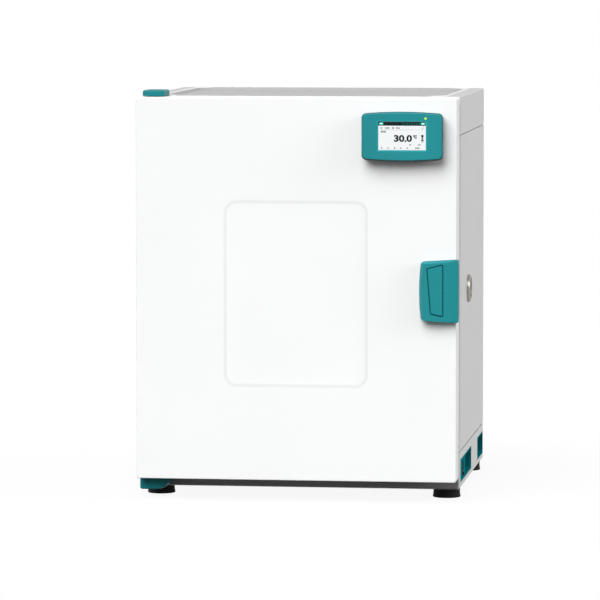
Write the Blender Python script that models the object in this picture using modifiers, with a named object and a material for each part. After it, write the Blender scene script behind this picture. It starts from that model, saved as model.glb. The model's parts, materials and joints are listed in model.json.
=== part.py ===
"""Microbiological incubator: an insulated cabinet with an outer door, a glass door and pull-out shelves.

Units are metres. The front faces -Y, the hinges are on the -X side, the handle is at +X and +Z is up.
The origin is at the bottom centre of the whole incubator, on the surface that its feet stand on.
"""

from collections import namedtuple
from math import cos, pi, radians, sin, sqrt

import bmesh
import bpy
from mathutils import Matrix, Vector

# Clearances and sheet
GAP = 0.0003  # between pieces that touch
SEAM = 0.0012  # the visible line between two outer panels
RUNNING = 0.0004  # round a pin in its bore
SHEET = 0.0012  # painted or stainless sheet steel

# Cabinet
CASE_WIDTH = 0.630
CASE_DEPTH = 0.5453
CASE_HEIGHT = 0.7736
BASE_HEIGHT = 0.0735
COVER_HEIGHT = 0.0748
CASE_CORNER = 0.004  # rounding of the upright corners
FOLD = 0.002  # rounding of a folded edge
FOLD_LEAD = 0.3  # share of a fold's depth over which its bend begins
PANEL_RETURN = 0.015  # folded-in edge of a side panel
REAR_RETURN = 0.012

# Tray pressed into the top cover
TRAY_DROP = 0.006
TRAY_SIDE = 0.036
TRAY_FRONT = 0.045
TRAY_BACK = 0.030
TRAY_CORNER = 0.040
TRAY_SLOPE = 0.004

# Feet
FOOT_HEIGHT = 0.019
FOOT_RADIUS = 0.0275
FOOT_WAIST = 0.0265
FOOT_INSET_X = 0.0295
FOOT_INSET_Y = 0.044

# Outer door
DOOR_BELOW_TOP = 0.001
DOOR_ABOVE_CASE_BOTTOM = 0.0234
DOOR_DEPTH = 0.077
DOOR_SEAT = 0.0055  # from the door's back to the case's front, filled by the gasket
SKIN_DEPTH = 0.058
DOOR_CORNER = 0.004
LINER_INSET = 0.002
LINER_TUCK = 0.003  # how far the liner reaches into the skin
LINER_DROP = 0.017  # recess in the door's back, which clears the inner door's knob
LINER_RECESS_EDGE = 0.055
LINER_RECESS_CORNER = 0.030
WINDOW_WIDTH = 0.284
WINDOW_HEIGHT = 0.366
WINDOW_LOW = 0.183  # above the door's bottom edge
WINDOW_DROP = 0.004
WINDOW_SLOPE = 0.006
WINDOW_CORNER = 0.025
GASKET_WIDTH = 0.009
GASKET_LAND = 0.001  # from the frame's opening to the gasket
GASKET_DRAFT = 0.0015

# Hinges of the outer door
HINGE_IN = 0.017  # axis from the door's left side
HINGE_BACK = 0.042  # axis behind the door's front
HINGE_PIN_RADIUS = 0.004
HINGE_PIN_HEAD = 0.006
HINGE_PIN_REACH = 0.022
HINGE_PLATE = 0.004
HINGE_NOSE = 0.009  # plate in front of the axis
HINGE_REST = 0.018  # plate on the top cover
HINGE_LEG = 0.018  # leg of the lower bracket down the base
CAP_WALL = 0.002
CAP_NOSE = 0.0120  # cap in front of the axis
CAP_CORNER = 0.006
UPPER_CAP_INSET = 0.0084
UPPER_CAP_WIDTH = 0.0432
UPPER_CAP_HEIGHT = 0.0112
UPPER_CAP_BACK = 0.022
LOWER_CAP_INSET = 0.0010
LOWER_CAP_WIDTH = 0.0545
LOWER_CAP_HEIGHT = 0.0242
LOWER_CAP_SWEEP = (0.020, 0.012)  # width and height of its rounded lower right corner
CAP_CLEAR = 0.0010
HINGE_PLATE_LEFT = UPPER_CAP_INSET + CAP_WALL + GAP
HINGE_PLATE_WIDTH = UPPER_CAP_WIDTH - 2 * (CAP_WALL + GAP)

# Front frame and glass door
FRAME_DEPTH = 0.016
FRAME_SIDE = 0.048
FRAME_END = 0.0265
PANE_THICKNESS = 0.005
PANE_SIDE_MARGIN = 0.004
PANE_END_MARGIN = 0.008
PANE_SET_BACK = 0.0075
PANE_CORNER = 0.003
GLASS_PIN_IN = 0.008  # axis from the frame's left inner side
GLASS_PIN_BACK = 0.004  # axis behind the case's front
GLASS_PIN_RADIUS = 0.002
GLASS_PIN_REACH = 0.0048
KNUCKLE_RADIUS = 0.0032
CLIP_PLATE = 0.0012
CLIP_WIDTH = 0.018
CLIP_HEIGHT = 0.020
CLIP_REAR = 0.005  # the clip's back plate stays this near the pane's edges, clear of the seal
GLASS_BRACKET_WIDTH = 0.016
GLASS_BRACKET_DEPTH = 0.009
SEAL_MARGIN = 0.0115
SEAL_WIDTH = 0.008
KNOB_IN = 0.030
KNOB_RADIUS = 0.010
KNOB_REACH = 0.018
KNOB_HOLE = 0.004

# Chamber
CHAMBER_LAND = 0.024  # from the frame's opening to the chamber's opening
REAR_SPACE = 0.084  # behind the chamber, for the insulation and the fan's motor
CHAMBER_DEPTH = CASE_DEPTH - FRAME_DEPTH - GAP - REAR_SPACE
CHAMBER_CORNER = 0.015
FLANGE_OVERLAP = 0.010
INSULATION_GAP = 0.0005
RACK_THICKNESS = 0.002
RACK_FRONT = 0.032
RACK_BACK = 0.020
LEDGE_COUNT = 5
LEDGES_BELOW_PORT = 2.5
LEDGE_PITCH = 0.085
LEDGE_DEPTH = 0.013
LEDGE_THICKNESS = 0.003
SHELF_CLEAR = 0.0025
SHELF_RIM = 0.010
SHELF_LEVELS = {"lower_shelf": 1, "upper_shelf": 3}
SHELF_CORNER = 0.004
SHELF_SLOT_ROWS = 8
SHELF_SLOT_COLUMNS = 4
SHELF_SLOT_WIDTH = 0.010
SHELF_SLOT_BAR = 0.012
SHELF_BORDER = 0.025

# Air circulation
BAFFLE_STANDOFF = 0.040
BAFFLE_SIDE = 0.030
BAFFLE_END = 0.035
BAFFLE_CORNER = 0.010
INTAKE_RADIUS = 0.058
INTAKE_SLOT = 0.006
INTAKE_PITCH = 0.012
OUTLET_SLOTS = 7
OUTLET_LENGTH = 0.055
OUTLET_WIDTH = 0.006
FAN_RADIUS = 0.060
FAN_DEPTH = 0.020
FAN_CLEAR = 0.007
FAN_PLATE = 0.0015
FAN_RING = 0.014
FAN_BLADES = 10
FAN_BLADE = 0.0014
FAN_HUB = 0.010
FAN_SHAFT = 0.004
MOTOR_RADIUS = 0.034
MOTOR_LENGTH = 0.042
HEATER_RADIUS = 0.078
HEATER_TUBE = 0.0035
HEATER_LEG_ANGLE = 12
SENSOR_RADIUS = 0.003
SENSOR_LENGTH = 0.055
SENSOR_BELOW_TOP = 0.060

# Access port in the right side
PORT_BACK = 0.180  # centre behind the case's front
PORT_ABOVE_DOOR_BOTTOM = 0.361
PORT_BORE = 0.022
PORT_WALL = 0.002
PORT_FLANGE = 0.0275
PORT_PROUD = 0.006
PLUG_LENGTH = 0.042
PLUG_TAPER = 0.0012

# Hand grips in the base
GRIP_DEPTH = 0.030
GRIP_HEIGHT = 0.046
GRIP_ABOVE_CASE_BOTTOM = 0.0115
GRIP_WALL = 0.003
FRONT_GRIP_START = 0.018
FRONT_GRIP_LENGTH = 0.245
REAR_GRIP_LENGTH = 0.138
REAR_GRIP_STOP = 0.006  # from the grip's rear end to the case's back
HAND_START = 0.108
HAND_LENGTH = 0.131
SWITCH_START = 0.0575
SWITCH_WIDTH = 0.024
SWITCH_HEIGHT = 0.029
SWITCH_POCKET = 0.014
SWITCH_PIVOT = 0.006
SWITCH_PROUD = 0.0032
SWITCH_DIP = 0.0014
SWITCH_TILT = 8

# Deck over the base and the power supply inside it
DECK_RETURN = 0.012
SUPPLY_SIZE = (0.150, 0.110, 0.044)
SUPPLY_FROM_RIGHT = 0.070
SUPPLY_FROM_BACK = 0.050
SUPPLY_FOLD = 0.0012

# Power inlet
INLET_FROM_RIGHT = 0.120
INLET_ABOVE_CASE_BOTTOM = 0.034
INLET_PROUD = 0.002
INLET_FLANGE = (0.050, 0.030)
INLET_BODY = (0.030, 0.023)
INLET_SOCKET = (0.0245, 0.0170)
INLET_BODY_DEPTH = 0.020
INLET_SOCKET_DEPTH = 0.017
INLET_PIN = (0.002, 0.004, 0.011)
INLET_PIN_PITCH = 0.007

# Control housing on the door
PANEL_PROUD = 0.028
PANEL_WIDTH = 0.158
PANEL_HEIGHT = 0.089
PANEL_BOW = 0.0037
PANEL_CORNER = 0.008
PANEL_WALL = 0.002
PANEL_BACK_DEPTH = 0.007
PANEL_BACK_INSET = 0.004
PANEL_BACK_LIP = 0.0015  # the lip that the housing's rim sits on
PANEL_FROM_RIGHT = 0.104
PANEL_BELOW_TOP = 0.0734
SCREEN_WIDTH = 0.092
SCREEN_HEIGHT = 0.0546
SCREEN_RISE = 0.0013
SCREEN_THICKNESS = 0.004
SCREEN_SINK = 0.0006
LAMP_PLACE = (0.0457, 0.0350)  # from the housing's centre
LAMP_RADIUS = 0.0018
BOARD_SIZE = (0.112, 0.062, 0.0016)
BOARD_LEVEL = 0.0145
POST_RADIUS = 0.003

# Handle on the door
HANDLE_REACH = 0.068
HANDLE_WRAP = 0.005
HANDLE_HEIGHT = 0.123
HANDLE_PROUD = 0.020
HANDLE_SHOULDER = 0.014
HANDLE_CORNER = 0.006
HANDLE_TIGHT = 0.55  # share of that radius at the door's edge
HANDLE_BOW = 0.0034  # how far the left side is bowed outwards
HANDLE_TAPER = 0.0042  # how far each end runs in towards the left
HANDLE_WALL = 0.003
HANDLE_ABOVE_DOOR_BOTTOM = 0.3755
HANDLE_LIP = 0.008
PLATEAU_LEFT = 0.0045
PLATEAU_RIGHT = 0.0270
PLATEAU_END = 0.0050
PADDLE_GAP = 0.0022
PADDLE_THICKNESS = 0.004
# Corners of the paddle from its pin's axis (across) and the handle's middle (up)
PADDLE_CORNERS = ((-0.0276, 0.0430), (-0.0206, -0.0431), (0.0012, -0.0478), (0.0012, 0.0504))
PADDLE_EASE = 0.0016  # rounding of the paddle's corners
PADDLE_PIN_FROM_RIGHT = 0.027
PADDLE_PIN_SINK = 0.008
PADDLE_PIN_RADIUS = 0.002
PADDLE_PIN_REACH = 0.0580
PADDLE_KNUCKLE = 0.0045
PADDLE_KNUCKLE_LENGTH = 0.022
PADDLE_KNUCKLE_OFFSET = 0.026
ARM_WIDTH = 0.005
ARM_HEIGHT = 0.012
SPRING_COIL = 0.0033
SPRING_WIRE = 0.0004
SPRING_TURNS = 4
SPRING_PITCH = 0.0014

# Latch behind the handle
HOOK_FROM_RIGHT = 0.021
HOOK_BACK = 0.047  # axis behind the door's front
HOOK_PIN_RADIUS = 0.003
HOOK_HEIGHT = 0.012
HOOK_HALF_WIDTH = 0.003
HOOK_BOSS = 0.006
HOOK_NOSE = 0.011
HOOK_NOSE_DEPTH = 0.0045
HOOK_TAIL = 0.0325
LATCH_PLAY = 0.001
LATCH_PLATE = 0.003
LATCH_HALF_HEIGHT = 0.010
LATCH_LEFT = 0.009
LATCH_RIGHT = 0.0105
LATCH_NOSE = 0.009  # bent plate in front of the hook's pin
POCKET_LEFT = 0.013
KEEPER_PLATE = 0.0015
KEEPER_LEFT = 0.013
KEEPER_RIGHT = 0.014
KEEPER_LIP = 0.006  # from the hook's axis to the lip's edge
KEEPER_HALF_HEIGHT = 0.015
KEEPER_LIP_THICKNESS = 0.002

# Datum planes worked out from the sizes above
DEPTH = PANEL_PROUD + DOOR_DEPTH + DOOR_SEAT + CASE_DEPTH + INLET_PROUD
LEFT = -(CASE_WIDTH + PORT_PROUD) / 2
RIGHT = LEFT + CASE_WIDTH
MIDDLE = LEFT + CASE_WIDTH / 2
DOOR_FRONT = -DEPTH / 2 + PANEL_PROUD
DOOR_BACK = DOOR_FRONT + DOOR_DEPTH
CASE_FRONT = DOOR_BACK + DOOR_SEAT
CASE_BACK = CASE_FRONT + CASE_DEPTH
CASE_MIDDLE = CASE_FRONT + CASE_DEPTH / 2
CASE_BOTTOM = FOOT_HEIGHT
CASE_TOP = CASE_BOTTOM + CASE_HEIGHT
BASE_TOP = CASE_BOTTOM + BASE_HEIGHT
COVER_BOTTOM = CASE_TOP - COVER_HEIGHT
DOOR_TOP = CASE_TOP - DOOR_BELOW_TOP
DOOR_BOTTOM = CASE_BOTTOM + DOOR_ABOVE_CASE_BOTTOM
DOOR_HEIGHT = DOOR_TOP - DOOR_BOTTOM
DOOR_CENTRE = (DOOR_TOP + DOOR_BOTTOM) / 2
PANEL_BOTTOM = BASE_TOP + SEAM
PANEL_TOP = COVER_BOTTOM - SEAM
PANEL_TALL = PANEL_TOP - PANEL_BOTTOM
PANEL_CENTRE = (PANEL_TOP + PANEL_BOTTOM) / 2
FRAME_BACK = CASE_FRONT + FRAME_DEPTH
RECESS_WIDTH = CASE_WIDTH - 2 * FRAME_SIDE
RECESS_HEIGHT = PANEL_TALL - 2 * FRAME_END
CHAMBER_WIDTH = RECESS_WIDTH - 2 * CHAMBER_LAND
CHAMBER_HEIGHT = RECESS_HEIGHT - 2 * CHAMBER_LAND
CHAMBER_FRONT = FRAME_BACK + GAP
CHAMBER_BACK = CHAMBER_FRONT + CHAMBER_DEPTH
CHAMBER_ROOF = PANEL_CENTRE + CHAMBER_HEIGHT / 2
BAFFLE_FRONT = CHAMBER_BACK - BAFFLE_STANDOFF
PANE_FRONT = CASE_FRONT + PANE_SET_BACK
PANE_BACK = PANE_FRONT + PANE_THICKNESS
PANE_WIDTH = RECESS_WIDTH - 2 * PANE_SIDE_MARGIN
PANE_HEIGHT = RECESS_HEIGHT - 2 * PANE_END_MARGIN
PANE_LEFT = MIDDLE - PANE_WIDTH / 2
PANE_RIGHT = MIDDLE + PANE_WIDTH / 2

# Axes of what moves
DOOR_AXIS = Vector((LEFT + HINGE_IN, DOOR_FRONT + HINGE_BACK, DOOR_CENTRE))
GLASS_AXIS = Vector((MIDDLE - RECESS_WIDTH / 2 + GLASS_PIN_IN, CASE_FRONT + GLASS_PIN_BACK, PANEL_CENTRE))
HANDLE_Z = DOOR_BOTTOM + HANDLE_ABOVE_DOOR_BOTTOM
PADDLE_AXIS = Vector((RIGHT - PADDLE_PIN_FROM_RIGHT, DOOR_FRONT - HANDLE_PROUD + PADDLE_PIN_SINK, HANDLE_Z))
HOOK_AXIS = Vector((RIGHT - HOOK_FROM_RIGHT, DOOR_FRONT + HOOK_BACK, HANDLE_Z))
PORT_CENTRE = Vector((RIGHT, CASE_FRONT + PORT_BACK, DOOR_BOTTOM + PORT_ABOVE_DOOR_BOTTOM))
GRIP_Z = CASE_BOTTOM + GRIP_ABOVE_CASE_BOTTOM + GRIP_HEIGHT / 2
SWITCH_AXIS = Vector((RIGHT - SWITCH_PIVOT, CASE_FRONT + FRONT_GRIP_START + SWITCH_START, GRIP_Z))
FAN_AXIS = Vector((MIDDLE, CHAMBER_BACK - FAN_CLEAR - FAN_DEPTH / 2, PANEL_CENTRE))
PANEL_PLACE = Vector((RIGHT - PANEL_FROM_RIGHT, DOOR_FRONT, DOOR_TOP - PANEL_BELOW_TOP))
INLET_PLACE = Vector((RIGHT - INLET_FROM_RIGHT, CASE_BACK, CASE_BOTTOM + INLET_ABOVE_CASE_BOTTOM))

# Turns that point a piece's own +Z outwards and keep its own +Y upwards
UPRIGHT = Matrix.Rotation(pi / 2, 4, "X")
FACING = {
    "front": UPRIGHT,
    "back": Matrix.Rotation(pi, 4, "Z") @ UPRIGHT,
    "right": Matrix.Rotation(pi / 2, 4, "Z") @ UPRIGHT,
    "left": Matrix.Rotation(-pi / 2, 4, "Z") @ UPRIGHT,
    "up": Matrix.Identity(4),
    "down": Matrix.Rotation(pi, 4, "Y"),
}

FIELDS = "width height level radius shift bow tight"
Section = namedtuple("Section", FIELDS, defaults=(0.0, (0.0, 0.0), 0.0, 1.0))


def clear_scene():
    for item in list(bpy.data.objects):
        bpy.data.objects.remove(item, do_unlink=True)


def new_collection(name):
    group = bpy.data.collections.new(name)
    bpy.context.scene.collection.children.link(group)
    return group


def finish_material(name, colour, roughness, metallic=0.0, alpha=1.0):
    finish = bpy.data.materials.new(name)
    finish.use_nodes = True
    shader = finish.node_tree.nodes["Principled BSDF"]
    shader.inputs["Base Color"].default_value = (*colour, 1.0)
    shader.inputs["Roughness"].default_value = roughness
    shader.inputs["Metallic"].default_value = metallic
    shader.inputs["Alpha"].default_value = alpha
    return finish


clear_scene()
PARTS = new_collection("incubator")
CUTTERS = new_collection("cutters")

WHITE = finish_material("door_white", (0.90, 0.90, 0.90), 0.35)
GREY = finish_material("case_grey", (0.56, 0.56, 0.56), 0.40)
TEAL = finish_material("teal_plastic", (0.028, 0.270, 0.290), 0.40)
BLACK = finish_material("black_plastic", (0.015, 0.015, 0.016), 0.45)
RUBBER = finish_material("rubber", (0.012, 0.012, 0.012), 0.75)
SILICONE = finish_material("silicone", (0.55, 0.55, 0.53), 0.55)
STAINLESS = finish_material("stainless", (0.60, 0.60, 0.59), 0.28, 1.0)
STEEL = finish_material("zinc_steel", (0.50, 0.50, 0.50), 0.35, 1.0)
GLASS = finish_material("glass", (0.85, 0.93, 0.90), 0.03, 0.0, 0.35)
FOAM = finish_material("foam", (0.80, 0.72, 0.50), 0.90)
BOARD = finish_material("board", (0.02, 0.16, 0.07), 0.50)
DISPLAY = finish_material("display", (0.35, 0.42, 0.45), 0.15)
LAMP = finish_material("lamp", (0.45, 0.75, 0.10), 0.30)


def add(name, mesh, finish, place=(0, 0, 0), turn=None, group=None):
    """An object from a mesh, at a place, turned by a matrix."""
    item = bpy.data.objects.new(name, mesh)
    item.matrix_world = Matrix.Translation(Vector(place)) @ (turn or Matrix.Identity(4))
    if finish:
        mesh.materials.append(finish)
    (group or PARTS).objects.link(item)
    return item


def mesh_from(bm, name):
    mesh = bpy.data.meshes.new(name)
    bm.to_mesh(mesh)
    bm.free()
    return mesh


def hidden(item):
    """Makes an object a cutter, or the second shape of a join."""
    for group in list(item.users_collection):
        group.objects.unlink(item)
    CUTTERS.objects.link(item)
    item.hide_render = True
    item.display_type = "WIRE"
    return item


def combine(item, other, operation):
    hidden(other)
    step = item.modifiers.new(other.name, "BOOLEAN")
    step.operation = operation
    step.object = other
    step.solver = "EXACT"
    return item


def cut(item, *others):
    for other in others:
        combine(item, other, "DIFFERENCE")
    return item


def join(item, *others):
    for other in others:
        combine(item, other, "UNION")
    return item


def bevel(item, width, segments=2, angle=30):
    step = item.modifiers.new("rounded edges", "BEVEL")
    step.width = width
    step.segments = segments
    step.limit_method = "ANGLE"
    step.angle_limit = radians(angle)
    return item


def smooth(item, angle=35):
    item.data.shade_smooth()
    item.data.set_sharp_from_angle(angle=radians(angle))
    return item


def box(name, low, high, finish=None, round_edges=0.0):
    """A block between two corners, with its origin at its centre."""
    low, high = Vector(low), Vector(high)
    bm = bmesh.new()
    bmesh.ops.create_cube(bm, size=1.0, matrix=Matrix.Diagonal((*(high - low), 1.0)))
    item = add(name, mesh_from(bm, name), finish, (low + high) / 2)
    return bevel(item, round_edges) if round_edges else item


def cylinder(name, radius, start, end, finish=None, segments=24):
    """A round bar from one point to another."""
    start, end = Vector(start), Vector(end)
    bm = bmesh.new()
    length = (end - start).length
    bmesh.ops.create_cone(
        bm, cap_ends=True, segments=segments, radius1=radius, radius2=radius, depth=length
    )
    turn = (end - start).to_track_quat("Z", "Y").to_matrix().to_4x4()
    return smooth(add(name, mesh_from(bm, name), finish, (start + end) / 2, turn))


def turned(name, profile, place, facing, finish, steps=32):
    """A turned shape. The profile holds radius and level, from the top down its outer side."""
    bm = bmesh.new()
    points = [bm.verts.new((radius, 0.0, level)) for radius, level in profile]
    for first, second in zip(points, points[1:]):
        bm.edges.new((first, second))
    if profile[0][0] > 0 and profile[-1][0] > 0:
        bm.edges.new((points[-1], points[0]))
    item = add(name, mesh_from(bm, name), finish, place, FACING[facing])
    screw = item.modifiers.new("turn", "SCREW")
    screw.angle = 2 * pi
    screw.steps = steps
    screw.render_steps = steps
    screw.use_merge_vertices = True
    screw.merge_threshold = 0.00005
    return item


def outline(section, corner_steps, edge_steps):
    """Points of a rounded rectangle, anticlockwise. A bow arches its upper and lower edges outwards."""
    points = []
    for quarter, (side, end) in enumerate(((1, -1), (1, 1), (-1, 1), (-1, -1))):
        radius = section.radius * (section.tight if side > 0 else 1)
        across = section.width / 2 - radius
        up = section.height / 2 - radius
        for step in range(corner_steps + 1):
            angle = (quarter - 1 + step / max(corner_steps, 1)) * pi / 2
            points.append([side * across + radius * cos(angle), end * up + radius * sin(angle)])
        if quarter in (1, 3):
            for step in range(1, edge_steps):
                x = side * across * (1 - 2 * step / edge_steps)
                points.append([x, end * section.height / 2])
    for point in points:
        share = 1 - (2 * point[0] / section.width) ** 2
        point[1] += section.bow * share * (1 if point[1] > 0 else -1)
    return [(x + section.shift[0], y + section.shift[1], section.level) for x, y in points]


def loft(name, sections, place, facing, finish, wall=0.0, ends="both", corner_steps=3, edge_steps=0):
    """Skins rounded rectangles in order. ends is both, last, none or ring, and a wall makes a shell of it."""
    if all(section.radius == 0 for section in sections):
        corner_steps = 0
    bm = bmesh.new()
    loops = []
    for section in sections:
        loops.append([bm.verts.new(point) for point in outline(section, corner_steps, edge_steps)])
    following = loops[1:] + (loops[:1] if ends == "ring" else [])
    for loop, upper in zip(loops, following):
        for here in range(len(loop)):
            after = (here + 1) % len(loop)
            bm.faces.new((loop[here], loop[after], upper[after], upper[here]))
    if ends == "both":
        bm.faces.new(reversed(loops[0]))
    if ends in ("both", "last"):
        bm.faces.new(loops[-1])
    item = smooth(add(name, mesh_from(bm, name), finish, place, FACING[facing]))
    if wall:
        shell = item.modifiers.new("wall", "SOLIDIFY")
        shell.thickness = wall
        shell.offset = -1
        shell.use_even_offset = True
    return item


def prism(name, points, low, high, finish=None, axis="Z"):
    """A flat outline given thickness between two levels. axis Z takes X and Y, axis Y takes X and Z."""
    curve = bpy.data.curves.new(name, "CURVE")
    curve.dimensions = "2D"
    curve.fill_mode = "BOTH"
    curve.extrude = (high - low) / 2
    spline = curve.splines.new("POLY")
    spline.points.add(len(points) - 1)
    for target, (x, y) in zip(spline.points, points):
        target.co = (x, y, 0, 1)
    spline.use_cyclic_u = True
    flat = bpy.data.objects.new(name, curve)
    PARTS.objects.link(flat)
    mesh = bpy.data.meshes.new_from_object(flat.evaluated_get(bpy.context.evaluated_depsgraph_get()))
    bpy.data.objects.remove(flat)
    bm = bmesh.new()
    bm.from_mesh(mesh)
    bmesh.ops.remove_doubles(bm, verts=bm.verts, dist=0.00001)
    bmesh.ops.dissolve_limit(bm, angle_limit=radians(1), verts=bm.verts, edges=bm.edges)
    bmesh.ops.recalc_face_normals(bm, faces=bm.faces)
    bm.to_mesh(mesh)
    bm.free()
    middle = (low + high) / 2
    if axis == "Z":
        return add(name, mesh, finish, (0, 0, middle))
    return add(name, mesh, finish, (0, middle, 0), UPRIGHT)


def eased(points, length, steps=3):
    """An outline whose corners are rounded off, from a length before each corner to as far behind it."""
    made = []
    for here in range(len(points)):
        before, corner, after = (Vector(points[(here + step) % len(points)]) for step in (-1, 0, 1))
        start = corner + (before - corner).normalized() * length
        end = corner + (after - corner).normalized() * length
        for step in range(steps + 1):
            share = step / steps
            made.append(tuple(start.lerp(corner, share).lerp(corner.lerp(end, share), share)))
    return made


def widened(points, distance):
    """A convex outline, given anticlockwise, with each side moved outwards."""
    moved = []
    for here in range(len(points)):
        before, corner, after = (Vector(points[(here + step) % len(points)]) for step in (-1, 0, 1))
        first, second = (corner - before).normalized(), (after - corner).normalized()
        outward = (first - second).normalized()
        moved.append(corner + outward * distance / cos(first.angle(second) / 2))
    return [tuple(point) for point in moved]


def group_of(name, place, *items):
    """An empty on an axis, with the pieces that turn or slide with it."""
    empty = bpy.data.objects.new(name, None)
    empty.empty_display_size = 0.05
    empty.location = place
    PARTS.objects.link(empty)
    for item in items:
        carry(empty, item)
    return empty


def carry(empty, item):
    item.parent = empty
    item.matrix_parent_inverse = Matrix.Translation(empty.location).inverted()


def folded(width, height, depth, radius=CASE_CORNER, fold=FOLD):
    """Sections of a folded sheet tray, from its open edge to its flat face."""
    lead = FOLD_LEAD * fold
    return [
        Section(width, height, -depth, radius),
        Section(width, height, -fold, radius),
        Section(width - 2 * lead, height - 2 * lead, -lead, radius),
        Section(width - 2 * fold, height - 2 * fold, 0.0, radius),
    ]


def top_cover():
    sections = folded(CASE_WIDTH, CASE_DEPTH, COVER_HEIGHT)
    tray_width = CASE_WIDTH - 2 * TRAY_SIDE
    tray_depth = CASE_DEPTH - TRAY_FRONT - TRAY_BACK
    shift = (0, (TRAY_FRONT - TRAY_BACK) / 2)
    sections += [
        Section(tray_width, tray_depth, 0.0, TRAY_CORNER, shift),
        Section(
            tray_width - 2 * TRAY_SLOPE,
            tray_depth - 2 * TRAY_SLOPE,
            -TRAY_DROP,
            TRAY_CORNER - TRAY_SLOPE,
            shift,
        ),
    ]
    place = (MIDDLE, CASE_MIDDLE, CASE_TOP)
    return loft("top_cover", sections, place, "up", GREY, SHEET, "last", corner_steps=5)


def side_panels():
    depth = CASE_BACK - FRAME_BACK - SEAM
    middle = (CASE_BACK + FRAME_BACK + SEAM) / 2
    sections = folded(depth, PANEL_TALL, PANEL_RETURN, 0.0)
    left = loft("left_side_panel", sections, (LEFT, middle, PANEL_CENTRE), "left", GREY, SHEET, "last")
    right = loft("right_side_panel", sections, (RIGHT, middle, PANEL_CENTRE), "right", GREY, SHEET, "last")
    return left, cut(right, port_hole("panel_port_hole", PORT_BORE + PORT_WALL + GAP))


def port_hole(name, radius):
    inner = PORT_CENTRE - Vector((FRAME_SIDE + CHAMBER_LAND + PANEL_RETURN, 0, 0))
    return cylinder(name, radius, inner, PORT_CENTRE + Vector((PORT_PROUD, 0, 0)), segments=32)


def rear_panel():
    width = CASE_WIDTH - 2 * (PANEL_RETURN + GAP)
    sections = folded(width, PANEL_TALL, REAR_RETURN, 0.0)
    panel = loft("rear_panel", sections, (MIDDLE, CASE_BACK, PANEL_CENTRE), "back", GREY, SHEET, "last")
    slots = 6
    for row in range(slots):
        z = PANEL_TOP - 0.045 - row * 0.012
        low = (MIDDLE - 0.060, CASE_BACK - REAR_RETURN, z)
        high = (MIDDLE + 0.060, CASE_BACK + REAR_RETURN, z + 0.004)
        cut(panel, box(f"rear_vent_{row + 1}", low, high))
    return panel


def grip_cutter(name, side, start, end, margin=GAP):
    """The opening in the base for a grip, on one side, from one depth to another."""
    outer = RIGHT if side > 0 else LEFT
    edges = sorted((outer + side * GRIP_WALL, outer - side * (GRIP_DEPTH + margin)))
    half = GRIP_HEIGHT / 2 + margin
    return box(name, (edges[0], start - margin, GRIP_Z - half), (edges[1], end + margin, GRIP_Z + half))


def base_pan():
    place = (MIDDLE, CASE_MIDDLE, CASE_BOTTOM)
    sections = folded(CASE_WIDTH, CASE_DEPTH, BASE_HEIGHT, fold=0.004)
    pan = loft("base_pan", sections, place, "down", GREY, SHEET, "last")
    front = CASE_FRONT + FRONT_GRIP_START
    rear = CASE_BACK - REAR_GRIP_LENGTH
    for side, name in ((-1, "left"), (1, "right")):
        cut(pan, grip_cutter(f"{name}_front_grip_hole", side, front, front + FRONT_GRIP_LENGTH))
        cut(pan, grip_cutter(f"{name}_rear_grip_hole", side, rear, CASE_BACK - REAR_GRIP_STOP))
    half = Vector((INLET_BODY[0] / 2 + GAP, INLET_BODY_DEPTH, INLET_BODY[1] / 2 + GAP))
    return cut(pan, box("inlet_hole", INLET_PLACE - half, INLET_PLACE + half))


def base_deck():
    """The sheet that closes the base and carries the insulated body."""
    width = CASE_WIDTH - 2 * (SHEET + GAP)
    depth = CASE_DEPTH - 2 * (SHEET + GAP)
    place = (MIDDLE, CASE_MIDDLE, PANEL_BOTTOM - GAP)
    return loft("base_deck", folded(width, depth, DECK_RETURN), place, "up", STEEL, SHEET, "last")


def power_supply():
    """A closed case on the floor of the base."""
    wide, deep, tall = SUPPLY_SIZE
    right = RIGHT - SUPPLY_FROM_RIGHT
    back = CASE_BACK - SUPPLY_FROM_BACK
    floor = CASE_BOTTOM + SHEET + GAP
    low = (right - wide, back - deep, floor)
    return box("power_supply", low, (right, back, floor + tall), BLACK, round_edges=SUPPLY_FOLD)


def hand_recess(name, side, start, end):
    """The space for the fingers in a grip."""
    outer = RIGHT if side > 0 else LEFT
    edges = sorted((outer + side * GRIP_WALL, outer - side * (GRIP_DEPTH - GRIP_WALL)))
    half = GRIP_HEIGHT / 2 - GRIP_WALL
    return box(name, (edges[0], start, GRIP_Z - half), (edges[1], end, GRIP_Z + half), round_edges=0.004)


def front_grip(side, name):
    start = CASE_FRONT + FRONT_GRIP_START
    place = (RIGHT if side > 0 else LEFT, start + FRONT_GRIP_LENGTH / 2, GRIP_Z)
    facing = "right" if side > 0 else "left"
    draft = 0.002
    sections = [
        Section(FRONT_GRIP_LENGTH - draft, GRIP_HEIGHT - draft, -GRIP_DEPTH, 0.0),
        Section(FRONT_GRIP_LENGTH, GRIP_HEIGHT, -GRIP_WALL, 0.0),
        Section(FRONT_GRIP_LENGTH, GRIP_HEIGHT, -0.001, 0.0),
        Section(FRONT_GRIP_LENGTH - 0.001, GRIP_HEIGHT - 0.001, 0.0, 0.0),
    ]
    grip = loft(name, sections, place, facing, TEAL)
    hand = hand_recess(f"{name}_hand", side, start + HAND_START, start + HAND_START + HAND_LENGTH)
    return cut(grip, hand)


def switch_pocket():
    half = Vector((SWITCH_POCKET, SWITCH_WIDTH / 2 + 2 * GAP, SWITCH_HEIGHT / 2 + 4 * GAP))
    centre = Vector((RIGHT, SWITCH_AXIS.y, SWITCH_AXIS.z))
    return box("switch_pocket", centre - half, centre + half)


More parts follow.
